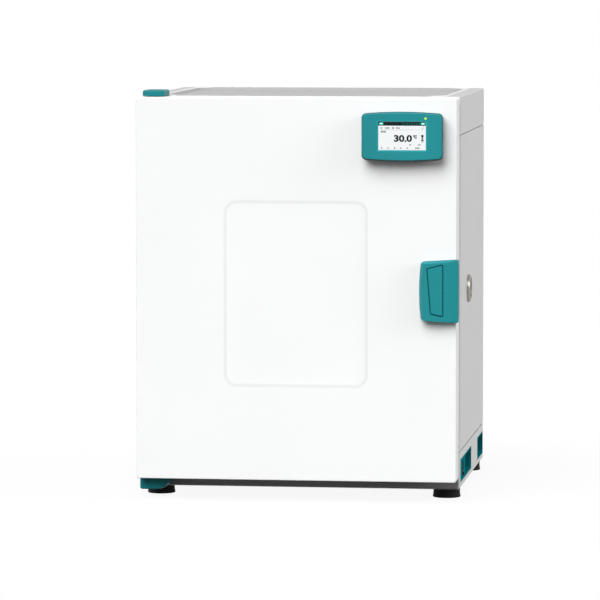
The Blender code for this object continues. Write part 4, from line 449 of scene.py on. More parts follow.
def show(name, bm, body, slot, finish, *nodes, angle=35):
    """The shape as a piece that rides on a body and stands for its nodes."""
    mesh = bpy.data.meshes.new(name)
    bm.to_mesh(mesh)
    bm.free()
    for one in finish if isinstance(finish, tuple) else (finish,):
        mesh.materials.append(one)
    mesh.shade_smooth()
    mesh.set_sharp_from_angle(angle=radians(angle))
    item = bpy.data.objects.new(name, mesh)
    bpy.context.scene.collection.objects.link(item)
    even = item.modifiers.new("even shading", "WEIGHTED_NORMAL")
    even.keep_sharp = True
    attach(item, body)
    if nodes:
        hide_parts(*nodes)
    return item


def copied(node):
    """A node's own shape with its triangles sewn together and its flat faces whole."""
    bm = bmesh.new()
    bm.from_mesh(NODES[node].data)
    bmesh.ops.remove_doubles(bm, verts=bm.verts, dist=0.000004)
    bmesh.ops.dissolve_limit(bm, angle_limit=radians(0.5), verts=bm.verts, edges=bm.edges)
    return bm


def rounded(bm, parts, width, segments, affect="EDGES", clamp=False):
    """Rounds some edges, or the corners of a flat shape."""
    bmesh.ops.bevel(
        bm,
        geom=parts,
        offset=width,
        offset_type="OFFSET",
        segments=segments,
        profile=0.5,
        affect=affect,
        clamp_overlap=clamp,
        material=-1,
    )
    return bm


def ease(bm, width, segments=2, angle=40, where=None):
    """Rounds the sharp edges, or those of them that a test picks."""
    sharp = []
    for edge in bm.edges:
        if len(edge.link_faces) == 2 and edge.calc_face_angle(0.0) > radians(angle):
            if where is None or where(edge):
                sharp.append(edge)
    return rounded(bm, sharp, width, segments, clamp=True) if sharp else bm


def tint(bm, test):
    """Gives each face the finish whose number, counted from 0, a test returns."""
    for face in bm.faces:
        face.material_index = int(test(face))
    return bm


def added(bm, part):
    """Puts one shape into another and gives back its new edges."""
    known = len(bm.edges)
    mesh = bpy.data.meshes.new("part")
    part.to_mesh(mesh)
    part.free()
    bm.from_mesh(mesh)
    bpy.data.meshes.remove(mesh)
    bm.edges.ensure_lookup_table()
    return bm.edges[known:]


def rim(bm, width, height, radius, level, spot=(0, 0), bow=0.0, steps=6, cuts=0):
    """A closed loop of edges round a rounded rectangle. A bow arches its upper and lower sides."""
    flat = bmesh.new()
    corners = bmesh.ops.create_grid(flat, x_segments=1, y_segments=1, size=0.5)["verts"]
    bmesh.ops.scale(flat, vec=(width, height, 1.0), verts=corners)
    rounded(flat, corners, radius, steps, "VERTICES")
    bmesh.ops.delete(flat, geom=flat.faces[:], context="FACES_ONLY")
    if cuts:
        long = [e for e in flat.edges if abs(e.verts[0].co.x - e.verts[1].co.x) > width / 2]
        bmesh.ops.subdivide_edges(flat, edges=long, cuts=cuts)
    for point in flat.verts:
        share = 1 - (2 * point.co.x / width) ** 2
        point.co.y += bow * share * (1 if point.co.y > 0 else -1)
    bmesh.ops.translate(flat, vec=(*spot, level), verts=flat.verts)
    return added(bm, flat)


def skinned(bm, rims):
    """Faces from each rim to the next."""
    for first, second in zip(rims, rims[1:]):
        bmesh.ops.bridge_loops(bm, edges=first + second)
    return bm


def turned(profile, steps=64):
    """A shape turned on a lathe. The profile holds radius and level, from one end to the other."""
    bm = bmesh.new()
    points = [bm.verts.new((radius, 0.0, level)) for radius, level in profile]
    edges = [bm.edges.new(pair) for pair in zip(points, points[1:])]
    if profile[0][0] > 0 and profile[-1][0] > 0:
        edges.append(bm.edges.new((points[-1], points[0])))
    bmesh.ops.spin(
        bm,
        geom=points + edges,
        cent=(0, 0, 0),
        axis=(0, 0, 1),
        dvec=(0, 0, 0),
        angle=2 * pi,
        steps=steps,
        use_merge=True,
    )
    return settle(bm)


def flat_block(bm, width, height, depth, spot=(0, 0, 0), radius=0.0):
    """A small plate standing up from its own ground, with rounded corners if asked."""
    made = bmesh.ops.create_cube(bm, size=1.0)["verts"]
    bmesh.ops.scale(bm, vec=(width, height, depth), verts=made)
    bmesh.ops.translate(bm, vec=Vector(spot) + Vector((0, 0, depth / 2)), verts=made)
    if radius:
        edges = {e for v in made for e in v.link_edges}
        upright = [e for e in edges if abs(e.verts[0].co.z - e.verts[1].co.z) > depth / 2]
        rounded(bm, upright, radius, 3)
    return bm


def meshed(curve):
    """The mesh of a curve or a text."""
    source = bpy.data.objects.new("source", curve)
    bpy.context.scene.collection.objects.link(source)
    shown = source.evaluated_get(bpy.context.evaluated_depsgraph_get())
    mesh = bpy.data.meshes.new_from_object(shown)
    bpy.data.objects.remove(source)
    return mesh


def lettered(bm, words, size, spot, depth, bold, wide):
    """Adds raised figures to a shape, with their lower left corner at the spot."""
    curve = bpy.data.curves.new("figures", "FONT")
    curve.body = words
    curve.size = size
    curve.offset = bold
    curve.extrude = depth / 2
    known = set(bm.verts)
    bm.from_mesh(meshed(curve))
    fresh = [v for v in bm.verts if v not in known]
    bmesh.ops.scale(bm, vec=(wide, 1.0, 1.0), verts=fresh)
    bmesh.ops.translate(bm, vec=Vector(spot) + Vector((0, 0, depth / 2)), verts=fresh)
    return bm


# Nodes that keep their own shape


def dressed(node, ending, slot, finish, width, segments=2, test=None):
    """A node's own shape with its edges rounded. A test, if given, tells its finishes apart."""
    bm = ease(copied(node), width, segments)
    if test:
        tint(bm, test)
    return show(f"{node}_{ending}", bm, BODY_OF[node], slot, finish, node)


def dress_sheet_metal():
    for node in ("left_side_panel", "right_side_panel", "rear_panel", "front_frame"):
        dressed(node, "painted", "case_grey", PAINT["case"], SHEET_EDGE)

    def faces_the_front(face):
        return face.normal.y < -0.9

    # The front faces of the base take the darker grey, which is painted shade under the door.
    finishes = (PAINT["case"], PAINT["plinth"])
    dressed("base_pan", "painted", "case_grey", finishes, SHEET_EDGE, test=faces_the_front)
    dressed("door_liner", "painted", "door_white", PAINT["liner"], SHEET_EDGE)


def dress_door_skin():
    """The door's front, with a darker tone on the slope round its pressed field that is painted shade."""
    low, _, middle = span("door_skin")
    half_width, bottom, top, deep = 0.150, 0.20, 0.60, 0.004

    def on_the_pressing(face):
        spot = face.calc_center_median()
        inside = abs(spot.x - middle.x) < half_width and bottom < spot.z < top
        return inside and -0.99 < face.normal.y < -0.5 and spot.y < low.y + deep

    finishes = (PAINT["door"], PAINT["pressing"])
    dressed("door_skin", "painted", "door_white", finishes, SHEET_EDGE, test=on_the_pressing)


def dress_top_cover():
    low, high, middle = span("top_cover")
    half_width, from_front, from_back, deep = 0.285, 0.040, 0.026, 0.0065

    def part_of_cover(face):
        """0 for the sides, 1 for the edges round the tray, with their painted highlights, and 2 for the
        tray, whose grey is painted shade.
        """
        spot = face.calc_center_median()
        if spot.z > high.z - 0.0005:
            return int(face.normal.z > 0.5)
        inside = abs(spot.x - middle.x) < half_width and low.y + from_front < spot.y < high.y - from_back
        return 2 if inside and spot.z > high.z - deep else 0

    finishes = (PAINT["case"], PAINT["rim"], PAINT["tray"])
    dressed("top_cover", "painted", "case_grey", finishes, SHEET_EDGE, test=part_of_cover)


def dress_slotted_sheet(node, radius):
    """A punched sheet. Its slots get round ends, by rounding their short upright edges."""

    def corner(edge):
        first, second = edge.verts
        length = (first.co - second.co).length
        return length < 0.0014 and min(face.calc_area() for face in edge.link_faces) < 0.00025

    bm = ease(copied(node), radius, 5, 80, corner)
    show(f"{node}_steel", bm, BODY_OF[node], "stainless", SHEET_SIDEWAYS, node)


def dress_chamber():
    dressed("inner_chamber", "steel", "stainless", SHEET_INWARDS, 0.0003)
    dress_slotted_sheet("rear_baffle", 0.0028)
    for node in ("upper_shelf", "lower_shelf"):
        dress_slotted_sheet(node, 0.0046)
    for node in ("left_shelf_rack", "right_shelf_rack"):
        dressed(node, "steel", "stainless", SHEET_INWARDS, 0.0005)
    for kind in ("bracket", "hinge"):
        for end in ("upper", "lower"):
            dressed(f"glass_{end}_{kind}", "steel", "stainless", TURNED_STEEL, 0.0003)
    dressed("glass_seal", "lip", "silicone", SILICONE, 0.0006, 3)
    dressed("glass_pane", "clear", "glass", GLASS, 0.0007, 3)


def dress_steel():
    plates = ("latch_keeper", "upper_hinge_bracket", "lower_hinge_bracket", "base_deck")
    turnings = ("upper_hinge_pin", "lower_hinge_pin", "fan_motor", "paddle_pin", "latch_case", "latch_hook")
    for node in plates + turnings:
        dressed(node, "plated", "zinc_steel", ZINC_STEEL, 0.0002)
    dressed("fan_wheel", "plated", "zinc_steel", ZINC_STEEL, 0.0002, 1)


def turned_aside(face):
    """Whether a face of the door's housings looks away from the front."""
    return face.normal.y > -0.95


def dress_grips():
    """The four hand grips and the two hinge caps, the caps in a darker teal that is painted shade. The
    walls of the switch's pocket in a grip are painted black as shade.
    """
    low, _, middle = span("power_switch")

    def in_the_switch_pocket(face):
        spot = face.calc_center_median()
        near = abs(spot.y - middle.y) < 0.0140 and abs(spot.z - middle.z) < 0.0165
        return near and spot.x > low.x - 0.004 and face.normal.x < 0.9

    finishes = (TEAL_GRIP, BLACK_SHELL_AND_SHADE)
    for node in ("left_front_grip", "left_rear_grip", "right_front_grip", "right_rear_grip"):
        dressed(node, "moulded", "teal_plastic", finishes, 0.0007, 3, in_the_switch_pocket)
    for node in ("upper_hinge_cap", "lower_hinge_cap"):
        dressed(node, "moulded", "teal_plastic", TEAL_CAP_SHADE, 0.0005)


def handle_housing():
    """The faceted housing round the paddle. Its lowest slope is drawn in, so that it is short."""
    low, high, _ = span("latch_paddle")
    around = 0.003
    bm = copied("handle_housing")
    front, lower = span("handle_housing")[0].yz
    for point in bm.verts:
        if point.co.y < front + 0.0008 and point.co.z < lower + 0.0108:
            point.co.z -= 0.0045

    def part_of_handle(face):
        """0 for the front, 1 for the edge, darker as painted shade, 2 for the gap round the paddle, darker
        as painted shade, and 3 for the lowest slope, lighter as painted light.
        """
        spot = face.calc_center_median()
        beside = low.x - around < spot.x < high.x + around
        if beside and low.z - around < spot.z < high.z + around and turned_aside(face):
            return 2
        if face.normal.y > -0.4:
            return 1
        return 3 if face.normal.z < -0.4 else 0

    tint(ease(bm, 0.0008, 3), part_of_handle)
    finishes = (TEAL_SHELL, TEAL_EDGE_SHADE, TEAL_GROOVE_SHADE, TEAL_PAINTED_LIGHT)
    show("handle_housing_moulded", bm, "outer_door", "teal_plastic", finishes, "handle_housing")


def latch_paddle():
    """The paddle, painted darker on its sides as shade, and a lip round it in a darker teal, as painted
    shade, that closes the view into the latch.
    """
    front = span("latch_paddle")[0].y
    finishes = (TEAL_PADDLE, TEAL_GROOVE_SHADE)

    def beside_the_front(face):
        return face.calc_center_median().y > front + 0.0004

    dressed("latch_paddle", "moulded", "teal_plastic", finishes, 0.0006, test=beside_the_front)
    # A lip sunk in the gap round the paddle, in a darker teal that is painted shade.
    lip, sunk, thick = 0.0019, 0.0016, 0.0008
    bm = copied("latch_paddle")
    deep = front + 0.0002
    others = [face for face in bm.faces if face.normal.y > -0.99 or face.calc_center_median().y > deep]
    bmesh.ops.delete(bm, geom=others, context="FACES")
    border = bmesh.ops.inset_region(
        bm,
        faces=bm.faces[:],
        thickness=-lip,
        use_boundary=True,
        use_even_offset=True,
    )["faces"]
    bmesh.ops.delete(bm, geom=border, context="FACES")
    made = bmesh.ops.extrude_face_region(bm, geom=bm.faces[:])["geom"]
    placed(bm, UPWARDS, (0, sunk, 0))
    deeper = [item for item in made if isinstance(item, bmesh.types.BMVert)]
    bmesh.ops.translate(bm, vec=(0, thick, 0), verts=deeper)
    bmesh.ops.recalc_face_normals(bm, faces=bm.faces)
    show("paddle_skirt", ease(bm, 0.0001, 1), "paddle", "teal_plastic", TEAL_SKIRT_SHADE)


def dress_cases():
    for node in ("power_supply", "control_housing_back"):
        dressed(node, "moulded", "black_plastic", BLACK_SHELL_AND_SHADE, 0.0004)


def dress_hidden_nodes():
    finishes = {
        "chamber_insulation": FOAM,
        "door_insulation": FOAM,
        "control_board": BOARD,
        "paddle_spring": WIRE_STEEL,
    }
    for node, finish in finishes.items():
        NODES[node].material_slots[0].material = finish


def feet():
    """Four turned rubber feet, each with a groove round its middle and a hollow sole."""
    for end in ("front", "rear"):
        for side in ("left", "right"):
            node = f"{end}_{side}_foot"
            low, high, middle = span(node)
            tall = high.z - low.z
            profile = [
                (0, tall),
                (0.0255, tall),
                (0.0265, tall - 0.001),
                (0.0265, 0.0128),
                (0.0259, 0.0122),
                (0.0259, 0.0112),
                (0.0265, 0.0106),
                (0.0266, 0.0062),
                (0.0272, 0.0036),
                (0.0275, 0.0024),
                (0.0274, 0.0010),
                (0.0266, 0.0),
                (0.0140, 0.0),
                (0.0130, 0.0012),
                (0, 0.0012),
            ]
            bm = placed(turned(profile, 72), UPWARDS, (middle.x, middle.y, low.z))
            show(f"{node}_rubber", bm, "cabinet", "rubber", FOOT_RUBBER, node)


def access_port():
    """The flanged tube through the side wall. Its levels count from the side panel."""
    low, high, middle = span("access_port")
    length = high.x - low.x - PORT_PROUD
    spot = (high.x - PORT_PROUD, middle.y, middle.z)
    profile = [
        (0.0220, PORT_PROUD - 0.0012),
        (0.0224, PORT_PROUD - 0.0004),
        (0.0232, PORT_PROUD),
        (0.0252, PORT_PROUD),
        (0.0264, PORT_PROUD - 0.0004),
        (0.0272, PORT_PROUD - 0.0014),
        (0.0275, PORT_PROUD - 0.0026),
        (0.0275, 0.0003),
        (0.0240, 0.0003),
        (0.0240, -length),
        (0.0220, -length),
    ]
    bm = placed(turned(profile, 96), RIGHTWARDS, spot)
    show("access_port_steel", bm, "cabinet", "stainless", PORT_STEEL_DARK_REFLECTION, "access_port")


def port_plug():
    """The stopper, with a ring and a button on its face to pull it by."""
    _, port_high, port_middle = span("access_port")
    spot = (port_high.x - PORT_PROUD, port_middle.y, port_middle.z)
    face = span("port_plug")[1].x - spot[0]
    profile = [
        (0, face - 0.0030),
        (0.0068, face - 0.0030),
        (0.0074, face - 0.0026),
        (0.0088, face - 0.0006),
        (0.0096, face),
        (0.0114, face),
        (0.0122, face - 0.0006),
        (0.0136, face - 0.0026),
        (0.0144, face - 0.0030),
        (0.0176, face - 0.0030),
        (0.0184, face - 0.0024),
        (0.0192, face - 0.0006),
        (0.0200, face),
        (0.0210, face - 0.0002),
        (0.0216, face - 0.0010),
        (0.0216, face - 0.0060),
        (0.0213, face - 0.0160),
        (0.0208, face - 0.0160),
        (0.0208, face - 0.0180),
        (0.0212, face - 0.0182),
        (0.0205, face - 0.0415),
        (0.0200, face - 0.0420),
        (0, face - 0.0420),
    ]
    bm = placed(turned(profile, 72), RIGHTWARDS, spot)
    show("port_plug_silicone", bm, "stopper", "silicone", SILICONE, "port_plug")


def door_gasket():
    """The magnetic seal on the door's back: a foot, a folded bellows and a soft face."""
    low, high, middle = span("door_gasket")
    width, height, deep = high.x - low.x, high.z - low.z, high.y - low.y
    wide = 0.009
    section = [  # level on the door's back, and how far the flank is drawn in there
        (0.0, 0.0),
        (0.0008, 0.0),
        (0.0014, 0.0016),
        (0.0022, 0.0016),
        (0.0030, 0.0004),
        (deep - 0.0006, 0.0004),
        (deep, 0.0012),
    ]
    bm = bmesh.new()

    def flank(inward, radius, level):
        return rim(bm, width - 2 * inward, height - 2 * inward, radius, level, steps=4)

    outer = [flank(drawn, 0.004, level) for level, drawn in section]
    inner = [flank(wide - drawn, 0.003, level) for level, drawn in reversed(section)]
    for chain in ((outer[-1], inner[0]), (inner[-1], outer[0]), outer, inner):
        skinned(bm, chain)
    placed(settle(bm), REARWARDS, (middle.x, low.y, middle.z))
    show("door_gasket_bellows", bm, "outer_door", "rubber", GASKET_RUBBER, "door_gasket")


def control_housing():
    """The bowed shell over the controls, with a rolled rim and a shallow fall to the display."""
    low, high, middle = span("control_housing")
    width = high.x - low.x
    height = high.z - low.z
    deep = high.y - low.y
    bow = 0.0037
    tall = height - 2 * bow
    screen_low, screen_high, screen = span("display_screen")
    lift = screen.z - middle.z
    open_width = screen_high.x - screen_low.x + 0.0006
    open_height = screen_high.z - screen_low.z + 0.0006
    bm = bmesh.new()

    def shell(inward, level):
        size = (width - 2 * inward, tall - 2 * inward)
        return rim(bm, *size, 0.0080 - inward / 2, level, bow=bow, steps=6, cuts=9)

    def round_the_screen(more, radius, level, arch=0.0):
        size = (open_width + 2 * more, open_height + 2 * more)
        return rim(bm, *size, radius, level, (0.0, lift), arch, 6, 9)

    rims = [
        shell(0.0010, 0.0),
        shell(0.0001, deep - 0.0042),
        shell(0.0000, deep - 0.0032),
        shell(0.0003, deep - 0.0020),
        shell(0.0010, deep - 0.0009),
        shell(0.0020, deep - 0.0003),
        shell(0.0032, deep),
        shell(0.0046, deep - 0.0001),
        round_the_screen(0.0100, 0.0060, deep - 0.0001, 0.0012),
        round_the_screen(0.0026, 0.0020, deep - 0.0003),
        round_the_screen(0.0012, 0.0012, deep - 0.0004),
        round_the_screen(0.0004, 0.0008, deep - 0.0006),
        round_the_screen(0.0, 0.0006, deep - 0.0010),
        round_the_screen(0.0, 0.0006, deep - 0.0022),
    ]
    skinned(bm, rims)
    placed(settle(bm), UPRIGHT, (middle.x, high.y, middle.z))
    bmesh.ops.recalc_face_normals(bm, faces=bm.faces)

    def part_of_shell(face):
        """0 for the front, 1 for the rolled edge, darker as painted shade, 2 for its underside, black as
        painted shade, and 3 for the fall to the display, lighter as a painted highlight.
        """
        spot = face.calc_center_median()
        across = abs(spot.x - middle.x) - open_width / 2
        up = abs(spot.z - middle.z - lift) - open_height / 2
        if max(across, up) < 0.0024:
            return 3
        if not turned_aside(face):
            return 0
        return 2 if face.normal.z < -0.4 else 1

    tint(bm, part_of_shell)
    finishes = (TEAL_SHELL, TEAL_EDGE_SHADE, BLACK_SHELL_AND_SHADE, TEAL_PAINTED_LIGHT)
    item = show("control_housing_moulded", bm, "outer_door", "teal_plastic", finishes, "control_housing")
    wall = item.modifiers.new("wall", "SOLIDIFY")
    wall.thickness = 0.0018
    wall.offset = -1.0
    wall.use_even_offset = True
    item.modifiers.move(1, 0)


def display():
    """The lit display: a pale ground, a dark bar with two marks, the reading and small signs."""
    low, high, _ = span("display_screen")
    width = high.x - low.x
    dressed("display_screen", "lit", "display", DISPLAY_PAPER, 0.0002)
    corner = (low.x, low.y - 0.00001, high.z)
    shapes = {name: bmesh.new() for name in ("bar", "ink", "green", "white", "grey")}

    def block(shape, left, top, wide, tall, rise=0.0, radius=0.0):
        """A mark given from the display's upper left corner, in millimetres."""
        spot = ((left + wide / 2) / 1000, -(top + tall / 2) / 1000, rise)
        flat_block(shapes[shape], wide / 1000, tall / 1000, 0.00005, spot, radius / 1000)

    def figures(shape, words, size, left, base, bold=0.12, wide=1.0):
        spot = (left / 1000, -base / 1000, 0.0)
        lettered(shapes[shape], words, size / 1000, spot, 0.00005, bold / 1000, wide)

    block("bar", 0.0, 0.0, 1000 * width, 7.4)
    for left in (1.6, 82.6):
        block("green", left, 1.4, 8.0, 4.2, 0.00006, 0.9)
        block("white", left + 1.7, 2.6, 4.6, 1.8, 0.00012, 0.5)
    for number in range(8):
        block("green", 46.5 + 4.6 * number, 3.2, 1.1, 1.1, 0.00006)
    for number in range(3):
        block("grey", 12.5 + 9.0 * number, 3.4, 7.2, 0.6, 0.00006)
    figures("grey", "01", 4.2, 4.4, 13.4)
    figures("grey", "12:00", 4.2, 12.0, 13.4)
    figures("grey", "00", 4.2, 26.5, 13.4)
    figures("grey", "30.0", 4.2, 34.5, 13.4)
    block("grey", 84.5, 11.2, 3.6, 0.6)
    block("grey", 85.4, 12.6, 1.8, 0.6)
    block("grey", 3.0, 15.4, 86.0, 0.25)
    figures("ink", "00:00", 4.4, 5.0, 20.6, 0.16)
    figures("ink", "30.0", 17.0, 29.9, 37.8, 0.70, 1.21)
    figures("ink", "°C", 7.8, 67.4, 31.6, 0.60, 0.86)
    block("ink", 83.6, 25.0, 4.2, 5.4)
    block("ink", 84.2, 31.2, 3.0, 2.6)
    block("ink", 83.6, 34.4, 4.2, 3.0)
    block("grey", 83.4, 38.8, 5.0, 0.6)
    figures("grey", "30.0", 3.4, 76.6, 45.6)
    figures("grey", "00", 3.4, 60.0, 45.6)
    for number, left in enumerate((5.4, 17.6, 30.6, 42.2, 55.0)):
        block("ink" if number in (2, 4) else "grey", left, 49.6, 2.2, 2.2, 0.0, 0.5)
        block("grey", left + 4.6, 50.4, 0.6, 0.6)
    figures("grey", "00:00", 3.8, 71.5, 52.0)
    finishes = {
        "bar": DISPLAY_BAR,
        "ink": DISPLAY_INK,
        "green": DISPLAY_GREEN,
        "white": DISPLAY_WHITE,
        "grey": DISPLAY_GREY,
    }
    for name, shape in shapes.items():
        placed(shape, UPRIGHT, corner)
        show(f"display_{name}", shape, "outer_door", "display", finishes[name])


def status_lamp():
    """A small domed lens, which stands a little before the housing."""
    low, high, middle = span("status_lamp")
    radius = 0.0018
    deep = high.y - low.y
    profile = [
        (0, deep + 0.0009),
        (0.0010, deep + 0.00082),
        (0.0017, deep + 0.0006),
        (0.0021, deep + 0.0003),
        (0.0022, deep),
        (radius, deep - 0.0001),
        (radius, 0.0020),
        (1.5 * radius, 0.0020),
        (1.5 * radius, 0.0),
        (0, 0.0),
    ]
    bm = placed(turned(profile, 32), UPRIGHT, (middle.x, high.y, middle.z))
    show("status_lamp_lens", bm, "outer_door", "lamp", LAMP_GREEN, "status_lamp")


def power_switch():
    """The dark red rocker, with a line on its upper half and a ring on its lower half."""
    dressed("power_switch", "moulded", "black_plastic", SWITCH_RED, 0.0006, 3)
    axis = Vector((0.306, -0.142875, 0.0535))
    half_height, rest_tilt = 0.0145, -8
    dip, proud = 0.0044, 0.0062  # from the axis to the rocker's middle and to its ends
    along = 0.52  # of the way from the middle to an end
    tilt = Matrix.Rotation(radians(rest_tilt), 4, "Y")
    slope = (proud - dip) / half_height
    raised = 0.00015
    line = flat_block(bmesh.new(), 0.0009, 0.0060, raised)
    ring = turned(((0.0030, 0.0), (0.0030, raised), (0.0022, raised), (0.0022, 0.0)), 32)
    for name, mark, end in (("on", line, 1), ("off", ring, -1)):
        lean = Matrix.Rotation(-end * slope, 4, "Y")
        spot = (dip + (proud - dip) * along, 0, end * half_height * along)
        placed(mark, Matrix.Translation(axis) @ tilt @ Matrix.Translation(spot) @ lean @ RIGHTWARDS)
        show(f"switch_mark_{name}", mark, "rocker", "black_plastic", SWITCH_MARK)


def power_inlet():
    """The inlet and the three flat pins at the bottom of its socket."""
    dressed("power_inlet", "moulded", "black_plastic", BLACK_SHELL_AND_SHADE, 0.0004)
    _, high, middle = span("power_inlet")
    socket_depth, apart = 0.01705, 0.007
    thick, tall, long = 0.0021, 0.0041, 0.0111
    pins = bmesh.new()
    for number in (-1, 0, 1):
        flat_block(pins, thick, tall, long, (number * apart, 0, 0))
    ease(pins, 0.0005, 2)
    placed(pins, REARWARDS, (middle.x, high.y - socket_depth, middle.z))
    show("power_inlet_pins", pins, "cabinet", "zinc_steel", TURNED_STEEL)


def glass_knob():
    """The knob before the pane, and the nut that holds it from behind."""
    low, _, middle = span("glass_knob")
    front = 0.018
    spot = (middle.x, low.y + front, middle.z)
    profile = [
        (0, front - 0.0006),
        (0.0060, front - 0.0006),
        (0.0066, front),
        (0.0082, front),
        (0.0094, front - 0.0006),
        (0.0100, front - 0.0020),
        (0.0100, front - 0.0052),
        (0.0094, front - 0.0066),
        (0.0070, front - 0.0082),
        (0.0057, front - 0.0098),
        (0.0055, front - 0.0120),
        (0.0057, 0.0032),
        (0.0066, 0.0024),
        (0.0080, 0.0018),
        (0.0080, 0.0003),
        (0.0037, 0.0003),
        (0.0037, -0.0053),
        (0.0070, -0.0053),
        (0.0070, -0.0068),
        (0.0064, -0.0073),
        (0, -0.0073),
    ]
    bm = placed(turned(profile, 48), UPRIGHT, spot)
    show("glass_knob_moulded", bm, "inner_door", "black_plastic", BLACK_SATIN, "glass_knob")


def temperature_sensor():
    """A probe with a round tip, and its collar on the chamber's wall."""
    low, _, middle = span("temperature_sensor")
    reach = 0.055
    spot = (middle.x, low.y + reach, middle.z)
    profile = [
        (0, reach),
        (0.0012, reach - 0.0001),
        (0.0022, reach - 0.0006),
        (0.0028, reach - 0.0014),
        (0.0030, reach - 0.0024),
        (0.0030, 0.0062),
        (0.0042, 0.0060),
        (0.0042, 0.0034),
        (0.0068, 0.0030),
        (0.0072, 0.0026),
        (0.0072, 0.0003),
        (0.0030, 0.0003),
        (0.0030, -0.0120),
        (0, -0.0120),
    ]
    bm = placed(turned(profile, 40), UPRIGHT, spot)
    show("temperature_sensor_steel", bm, "cabinet", "stainless", TURNED_STEEL, "temperature_sensor")


def ring_heater():
    """The bent element behind the baffle, with both ends turned back into the wall."""
    low, high, middle = span("ring_heater")
    tube = 0.0035
    radius = (high.x - low.x) / 2 - tube
    centre = Vector((middle.x, low.y + tube, FAN_LEVEL))
    opening = radians(12)  # to each side of the top
    bend = 0.006
    curve = bpy.data.curves.new("ring_heater_element", "CURVE")
    curve.dimensions = "3D"
    curve.bevel_depth = tube
    curve.bevel_resolution = 4
    curve.use_fill_caps = True
    points = []
    steps = 72
    for step in range(steps + 1):
        angle = pi / 2 + opening + (2 * pi - 2 * opening) * step / steps
        points.append(centre + Vector((radius * cos(angle), 0, radius * sin(angle))))
    for end in (0, -1):
        tip = points[end]
        away = (tip - points[1 if end == 0 else -2]).normalized()
        arc = []
        for step in range(1, 7):
            angle = pi / 2 * step / 6
            arc.append(tip + away * bend * sin(angle) * 0.35 + Vector((0, bend * (1 - cos(angle)), 0)))
        arc.append(Vector((arc[-1].x, high.y, arc[-1].z)))
        points = list(reversed(arc)) + points if end == 0 else points + arc
    spline = curve.splines.new("POLY")
    spline.points.add(len(points) - 1)
    for target, point in zip(spline.points, points):
        target.co = (*point, 1)
    bm = bmesh.new()
    bm.from_mesh(meshed(curve))
    show("ring_heater_element", settle(bm), "cabinet", "stainless", WIRE_STEEL, "ring_heater")


def screw(bm, matrix, radius=0.0032):
    """Adds the pan head of a screw."""
    profile = [
        (0, 0.0018),
        (radius * 0.5, 0.0017),
        (radius * 0.85, 0.0012),
        (radius, 0.0004),
        (radius, 0.0),
        (0, 0.0),
    ]
    added(bm, placed(turned(profile, 20), matrix))


def rear_screws():
    """The screws that hold the rear panel: three along its top and its bottom, two more on each side."""
    low, high, middle = span("rear_panel")
    inset, from_middle = 0.012, 0.11
    sides = (low.x + inset, high.x - inset)
    ends = (low.z + inset, high.z - inset)
    places = [(across, up) for across in (sides[0], middle.x, sides[1]) for up in ends]
    places += [(across, middle.z + up) for across in sides for up in (-from_middle, from_middle)]
    bm = bmesh.new()
    for across, up in places:
        screw(bm, Matrix.Translation((across, high.y, up)) @ REARWARDS)
    show("rear_panel_screws", bm, "cabinet", "zinc_steel", ZINC_STEEL)


# The studio


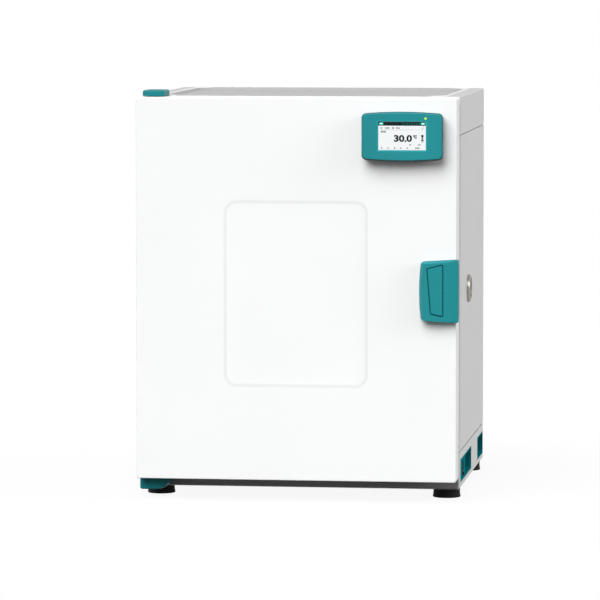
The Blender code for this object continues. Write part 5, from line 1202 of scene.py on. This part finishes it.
def studio_floor():
    """A pale floor that keeps the incubator's shadow and fades into the white round it."""
    bm = bmesh.new()
    bmesh.ops.create_grid(bm, x_segments=1, y_segments=1, size=60.0)
    mesh = bpy.data.meshes.new("studio floor")
    placed(bm, Matrix.Translation((0, 0, -0.0002))).to_mesh(mesh)
    bm.free()
    finish, start = new_finish("pale floor")
    away = start.node("VectorMath", {"operation": "LENGTH"}, {0: start.where()}, output="Value")
    share = away.between(0.45, 1.1) * 0.08 + 0.92
    paper = start.node("BsdfDiffuse", inputs={"Color": (0.04, 0.04, 0.04, 1.0)})
    sheet = start.node("BsdfDiffuse", inputs={"Color": (0.75, 0.75, 0.75, 1.0)})
    white = start.node("Emission", inputs={"Color": (1.0, 1.0, 1.0, 1.0), "Strength": 1.0})
    pale = start.node("MixShader", inputs={0: share, 1: sheet, 2: white})
    mixed = start.node("MixShader", inputs={0: start.seen(), 1: paper, 2: pale})
    start.node("OutputMaterial", inputs={"Surface": mixed})
    mesh.materials.append(finish)
    item = bpy.data.objects.new("studio_floor", mesh)
    bpy.context.scene.collection.objects.link(item)
    item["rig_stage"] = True


def studio_sky(level):
    """Even white light from all round. The camera and reflections see plain white."""
    world = bpy.data.worlds.new("studio")
    world.use_nodes = True
    world.node_tree.nodes.clear()
    start = Socket(world.node_tree)
    strength = start.seen() * (1.0 - level) + level
    sky = start.node("Background", inputs={"Color": (1.0, 1.0, 1.0, 1.0), "Strength": strength})
    start.node("OutputWorld", inputs={"Surface": sky})
    bpy.context.scene.world = world


def wide_light(name, around, up, breadth, strength):
    """A far, broad light, at an angle round from the front and one up from the floor, in degrees."""
    light = bpy.data.lights.new(name, "SUN")
    light.angle = radians(breadth)
    light.energy = strength
    item = bpy.data.objects.new(name, light)
    spot = Vector((sin(radians(around)), -cos(radians(around)), 0.0)) * cos(radians(up))
    spot.z = sin(radians(up))
    item.rotation_euler = (-spot).to_track_quat("-Z", "Y").to_euler()
    bpy.context.scene.collection.objects.link(item)


def photographer():
    data = bpy.data.cameras.new("camera")
    data.lens = 259.74
    data.sensor_width = 36.0
    data.clip_end = 500.0
    item = bpy.data.objects.new("camera", data)
    item.location = (1.0638, -8.6549, 1.0689)
    item.rotation_euler = (radians(85.4397), 0.0, radians(7.2177))
    bpy.context.scene.collection.objects.link(item)
    bpy.context.scene.camera = item


photographer()
dress_sheet_metal()
dress_door_skin()
dress_top_cover()
dress_chamber()
dress_steel()
dress_grips()
handle_housing()
latch_paddle()
dress_cases()
dress_hidden_nodes()
feet()
access_port()
port_plug()
door_gasket()
control_housing()
display()
status_lamp()
power_switch()
power_inlet()
glass_knob()
temperature_sensor()
ring_heater()
rear_screws()
studio_floor()
studio_sky(0.40)
wide_light("key light", -20, 42, 50, 3.50)
wide_light("side light", 80, 20, 30, 1.40)
bpy.context.scene.view_settings.view_transform = "Standard"

corners = {"cad": cad_box, "visual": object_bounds()}
{name: [list(corner) for corner in pair] for name, pair in corners.items()}
